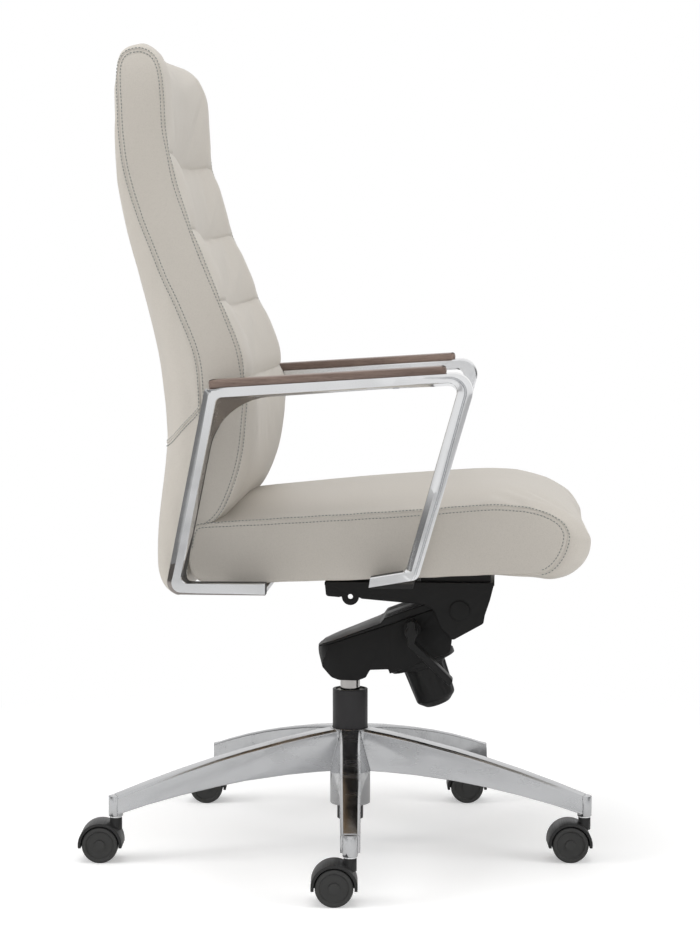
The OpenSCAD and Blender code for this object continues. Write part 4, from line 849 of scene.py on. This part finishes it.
# Place on the loop, then in millimetres: strip width, strip slope, groove width, groove depth,
# width and depth of the slope along the inside.
arm_relief = np.array([
    (0.00, 1.6, 1.6, 0.2, 0.0, 1.0, 0.6), (0.60, 3.2, 3.6, 0.2, 0.0, 1.0, 0.6),
    (1.00, 6.0, 6.4, 0.2, 0.0, 1.0, 0.6), (1.25, 8.0, 5.8, 0.2, 0.0, 1.0, 0.6),
    (1.36, 8.3, 4.6, 0.2, 0.0, 1.0, 0.6), (2.00, 8.3, 4.8, 0.2, 0.0, 1.0, 0.6),
    (2.22, 6.0, 4.5, 2.2, 3.5, 1.0, 0.6), (2.26, 4.0, 4.5, 2.6, 4.5, 1.0, 0.6),
    (2.285, 0.6, 0.4, 0.3, 0.0, 0.8, 0.5), (2.60, 0.6, 0.4, 0.3, 0.0, 0.8, 0.5),
    (2.68, 3.0, 0.5, 1.0, 0.4, 1.2, 0.8), (2.74, 6.0, 0.8, 2.4, 2.2, 2.4, 1.2),
    (2.85, 8.0, 1.0, 2.6, 3.2, 5.4, 1.6), (3.00, 9.0, 1.2, 2.6, 3.6, 6.0, 1.8),
    (3.26, 8.8, 1.2, 2.6, 3.8, 6.6, 2.0), (3.40, 7.4, 1.2, 2.6, 3.8, 7.4, 2.4),
    (3.52, 5.4, 1.0, 2.6, 3.4, 7.8, 3.0), (3.76, 5.6, 1.0, 2.6, 2.6, 7.8, 6.6),
    (4.00, 4.0, 1.2, 1.6, 0.8, 3.0, 1.6), (4.30, 1.0, 0.8, 0.2, 0.0, 1.2, 0.8),
    (5.00, 1.0, 0.8, 0.2, 0.0, 1.0, 0.6)])


def arm_section(out, inn, belly):
    """One ring round the bar: [across from the outside, in from the outer face]."""
    strip, fall, slot, deep, slope, drop = (
        np.interp(out[0], arm_relief[:, 0], arm_relief[:, k]) for k in range(1, 7))
    band = np.interp(out[0], (0.7, 1.1, 3.9, 4.3), (24.0, 50.0, 50.0, 24.0))
    thick = math.dist(out[1:], inn[1:])
    gap = math.dist(inn[1:], belly[1:])
    under = np.interp(gap, (0.0, 4.0, 7.5, 10.0, 20.0, 26.0), (drop + 1.4, 3.8, 8.0, 15.0, 34.0, 36.0))
    full = thick + gap
    rise = max(strip - slot / 2 - 0.3, 0.2)
    return thick, full, [
        (0.0, fall + 0.6), (0.0, 14.0), (0.0, band - 2.2), (2.2, band), (full - 2.2, band), (full, band - 2.2),
        (full, (under + band - 2.2) / 2), (full, under), (thick + gap / 2, (under + drop + 1.0) / 2),
        (thick, drop + 1.0), (thick - 0.6, drop),
        (thick - slope, 0.0), (min(strip + slot / 2 + 0.4, thick - slope - 0.5), 0.0),
        (min(strip + 0.25, thick - slope - 1.0), deep), (max(strip - 0.25, 0.3), deep),
        (rise, min(fall, 0.3)), (rise * 0.66, fall * 0.28), (rise * 0.33, fall * 0.6), (0.1, fall)]


def arm_loop(side):
    """The bar drawn along its loop, one ring for each place.

    Its feet and its rear leg take the second material on the inside, a near-black painted shade for the shadow
    between the arm and the cushion, and the web under the bar and the rear leg's strip take the third, a
    brownish painted reflection of the shaded cushion."""
    work = bmesh.new()
    ring = None
    for out, inn, belly in zip(arm_outside, arm_inside, arm_belly):
        thick, full, section = arm_section(out, inn, belly)
        o, i, b = (np.array(point[1:]) for point in (out, inn, belly))
        places = []
        for across, deep in section:
            if across <= thick:
                f, z = o + (i - o) * (across / thick)
            else:
                f, z = i + (b - i) * ((across - thick) / (full - thick))
            places.append((side * (arm_face - deep) / 1000, -f / 1000, z / 1000))
        if ring is None:
            ring = bmesh.ops.create_circle(work, segments=len(section), radius=1.0)["verts"]
            for vert, place in zip(ring, places):
                vert.co = place
            # The end faces take the near-black painted shade.
            work.faces.new(ring).material_index = 1
        else:
            before = ring
            ring = grow_ring(work, ring, places)
            # Faces inside the feet and the rear leg take the near-black painted shade of the gap beside the
            # cushion.
            painted_shade_face = out[0] < 1.95 or out[0] > 4.2
            web = 1.5 < out[0] < 2.45
            for k in range(len(ring)):
                face = work.faces.get((before[k - 1], before[k], ring[k], ring[k - 1]))
                # These faces take the brownish painted reflection of the shaded cushion.
                painted_reflection_face = web and k in (8, 9) or out[0] < 1.3 and k in (16, 17, 18, 0)
                face.material_index = 2 if painted_reflection_face else int(painted_shade_face and 3 <= k <= 7)
    work.faces.new(ring).material_index = 1
    bmesh.ops.recalc_face_normals(work, faces=work.faces)
    return work


arm_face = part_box("arm_frame_left")[1].x * 1000
tab_thick, tab_drop = 0.006, 0.0035
foot_height, foot_slope = 0.4085, 0.04
arm_aluminium = polished_metal("polished_arm_aluminium", (0.81, 0.815, 0.825), 0.10, 0.22, 55.0, 0.00003)
# Brownish dark painted reflection of the shaded cushion, used on the web under the bar and the rear leg's
# strip.
painted_reflection_metal = polished_metal("painted_reflection_web_metal", (0.29, 0.265, 0.25), 0.22, 0.34, 70.0, 0.00004)
# Near-black painted shade, not a finish of the casting: it stands for the shadow between the arm and the
# cushion.
painted_shade_black = moulded_plastic("painted_shade_black", (0.012, 0.012, 0.012), (0.022, 0.022, 0.022), 650.0, 0.00006, 0.25)
for side, name in ((-1, "right"), (1, "left")):
    work = arm_loop(side)
    tab_in, tab_out = abs(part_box(f"arm_frame_{name}")[0 if side > 0 else 1].x), (arm_face - 18) / 1000
    for rear, front in ((-0.146, -0.091), (0.046, 0.100)):
        along = (rear + front) / 2
        middle = Vector((side * (tab_in + tab_out) / 2, -along, foot_height + foot_slope * along - tab_drop))
        made = bmesh.ops.create_cube(work, matrix=Matrix.Translation(middle) @ Matrix.Diagonal(
            (tab_out - tab_in, front - rear, tab_thick, 1.0)))
        for face in {face for vert in made["verts"] for face in vert.link_faces}:
            # The front tab takes the near-black painted shade, and the rear tab takes the polished aluminium.
            face.material_index = int(rear > 0)
    mesh = bpy.data.meshes.new(f"arm_loop_{name}")
    work.to_mesh(mesh)
    work.free()
    mesh.shade_smooth()
    for mat in (arm_aluminium, painted_shade_black, painted_reflection_metal):
        mesh.materials.append(mat)
    loop = show(f"arm_loop_{name}", mesh, arm_aluminium, "seat")
    rounding = loop.modifiers.new("broken_edges", "BEVEL")
    rounding.width = 0.0004
    rounding.segments = 2
    rounding.limit_method = "ANGLE"
    rounding.angle_limit = math.radians(24)
    rounding.harden_normals = True
    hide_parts(f"arm_frame_{name}")

# ---------- arm caps ----------
# A walnut cap is screwed on to each arm's top bar from below, sanded and oiled.

def walnut_material():
    """Straight-grained walnut: long bands of tone, fine dark pores along them, and an oiled sheen."""
    mat, tree, shader, place = new_material("oiled_walnut", (0.19, 0.135, 0.11), 0.42)
    lay = add_node(tree, "Mapping", {"Vector": place, "Scale": (1.0, 0.07, 1.0)})
    bend = add_node(tree, "TexNoise", {"Vector": lay.outputs[0], "Scale": 60.0, "Detail": 3.0})
    bands = add_node(tree, "TexNoise", {"Vector": lay.outputs[0], "Scale": 420.0, "Detail": 6.0,
                                        "Roughness": 0.7})
    mixed = add_node(tree, "Math", {0: bend.outputs[0], 1: bands.outputs[0]}, operation="MULTIPLY")
    grade = add_node(tree, "MapRange", {"Value": mixed.outputs[0], "From Min": 0.13, "From Max": 0.38})
    tone = add_node(tree, "Mix", {0: grade.outputs[0], 6: (0.125, 0.083, 0.066, 1.0),
                                  7: (0.250, 0.182, 0.150, 1.0)}, data_type="RGBA")
    pores = add_node(tree, "TexNoise", {"Vector": lay.outputs[0], "Scale": 1500.0, "Detail": 2.0})
    open_pores = add_node(tree, "MapRange", {"Value": pores.outputs[0], "From Min": 0.60, "From Max": 0.72,
                                             "To Min": 1.0, "To Max": 0.62})
    spotted = add_node(tree, "Mix", {0: 1.0, 6: tone.outputs[2], 7: open_pores.outputs[0]},
                       data_type="RGBA", blend_type="MULTIPLY")
    tree.links.new(spotted.outputs[2], shader.inputs["Base Color"])
    sheen = add_node(tree, "MapRange", {"Value": bands.outputs[0], "From Min": 0.3, "From Max": 0.7,
                                        "To Min": 0.36, "To Max": 0.5})
    tree.links.new(sheen.outputs[0], shader.inputs["Roughness"])
    raise_surface(tree, shader, open_pores.outputs[0], 0.00004, 0.5)
    return mat


walnut = walnut_material()
for side in ("right", "left"):
    broken_edges(f"arm_cap_{side}", 0.0022, walnut, "seat")

# ---------- studio ----------
# A white floor that runs out of view, soft lamps above and at the side, and the camera.

floor_mesh = bpy.data.meshes.new("studio_floor")
work = bmesh.new()
bmesh.ops.create_grid(work, x_segments=1, y_segments=1, size=9.0)
work.to_mesh(floor_mesh)
work.free()
floor = bpy.data.objects.new("studio_floor", floor_mesh)
bpy.context.scene.collection.objects.link(floor)
white_floor, tree, shader, place = new_material("white_floor", (0.86, 0.86, 0.86), 0.7)
shader.inputs["Specular IOR Level"].default_value = 0.1
lift = add_node(tree, "Emission", {"Color": (1.0, 1.0, 1.0, 1.0), "Strength": 0.30})
white = add_node(tree, "Emission", {"Color": (1.0, 1.0, 1.0, 1.0), "Strength": 1.0})
seen = add_node(tree, "LightPath")
reach = add_node(tree, "VectorMath", {0: place}, operation="LENGTH")
away = add_node(tree, "MapRange", {"Value": reach.outputs["Value"], "From Min": 0.55, "From Max": 1.3},
                interpolation_type="SMOOTHSTEP")
lit = add_node(tree, "AddShader", {0: shader.outputs[0], 1: lift.outputs[0]})
near = add_node(tree, "MixShader", {0: away.outputs[0], 1: lit.outputs[0], 2: white.outputs[0]})
pick = add_node(tree, "MixShader", {0: seen.outputs["Is Camera Ray"], 1: shader.outputs[0], 2: near.outputs[0]})
tree.links.new(pick.outputs[0], tree.nodes["Material Output"].inputs["Surface"])
give(floor, white_floor)

world = bpy.data.worlds.new("studio_world")
world.use_nodes = True
bpy.context.scene.world = world
tree = world.node_tree
plain = tree.nodes["Background"]
plain.inputs[0].default_value = (1.0, 1.0, 1.0, 1.0)
plain.inputs[1].default_value = 0.47
white = add_node(tree, "Background", {0: (1.0, 1.0, 1.0, 1.0), 1: 1.0})
# Polished metal sees the white room ahead of and behind it, and its dimmer ends at both sides.
toward = tree.nodes.new("ShaderNodeTexCoord").outputs["Generated"]
parts = add_node(tree, "SeparateXYZ", {0: toward})
level = add_node(tree, "Math", {0: parts.outputs["X"]}, operation="ABSOLUTE")
wall = add_node(tree, "MapRange", {"Value": level.outputs[0], "From Min": 0.45, "From Max": 0.9, "To Min": 0.20,
                                   "To Max": 0.92}, interpolation_type="SMOOTHSTEP")
ceiling = add_node(tree, "MapRange", {"Value": parts.outputs["Z"], "From Min": 0.25, "From Max": 0.75},
                   interpolation_type="SMOOTHSTEP")
room = add_node(tree, "Mix", {0: ceiling.outputs[0], 2: wall.outputs[0], 3: 0.95})
mirrored = add_node(tree, "Background", {0: (1.0, 1.0, 1.0, 1.0), 1: room.outputs[0]})
seen = add_node(tree, "LightPath")
gloss = add_node(tree, "MixShader", {0: seen.outputs["Is Glossy Ray"], 1: plain.outputs[0],
                                     2: mirrored.outputs[0]})
direct = add_node(tree, "Math", {0: seen.outputs["Is Camera Ray"], 1: seen.outputs["Is Transmission Ray"]},
                  operation="MAXIMUM")
pick = add_node(tree, "MixShader", {0: direct.outputs[0], 1: gloss.outputs[0], 2: white.outputs[0]})
tree.links.new(pick.outputs[0], tree.nodes["World Output"].inputs["Surface"])


def soft_lamp(name, place, target, size, watts):
    """A square of soft light turned to its target, which polished metal doesn't mirror."""
    lamp = bpy.data.lights.new(name, "AREA")
    lamp.shape = "RECTANGLE"
    lamp.size, lamp.size_y = size
    lamp.energy = watts
    piece = bpy.data.objects.new(name, lamp)
    piece.visible_glossy = False
    piece.location = place
    piece.rotation_euler = (Vector(target) - Vector(place)).to_track_quat("-Z", "Y").to_euler()
    bpy.context.scene.collection.objects.link(piece)


soft_lamp("overhead_lamp", (-0.4, 0.2, 3.0), (0.0, 0.0, 0.5), (2.4, 2.4), 38)
soft_lamp("front_lamp", (-0.9, -3.0, 1.4), (0.0, 0.0, 0.7), (1.8, 1.8), 40)
soft_lamp("rear_lamp", (-0.9, 3.0, 1.7), (0.0, 0.1, 0.8), (1.8, 1.8), 48)
soft_lamp("side_lamp", (-2.9, 0.1, 0.3), (-0.2, 0.0, 0.45), (1.2, 0.8), 6)

camera_data = bpy.data.cameras.new("studio_camera")
camera_data.lens, camera_data.sensor_width = 90.70, 36.0
camera_data.sensor_fit = "AUTO"
camera = bpy.data.objects.new("studio_camera", camera_data)
camera.location = (-3.358, -0.2117, 0.7976)
pitch = math.radians(4.518)  # below level
ahead = Vector((0.998 * math.cos(pitch), 0.063 * math.cos(pitch), -math.sin(pitch)))
camera.rotation_euler = ahead.to_track_quat("-Z", "Y").to_euler()
bpy.context.scene.collection.objects.link(camera)
bpy.context.scene.camera = camera
bpy.context.scene.view_settings.view_transform = "Standard"
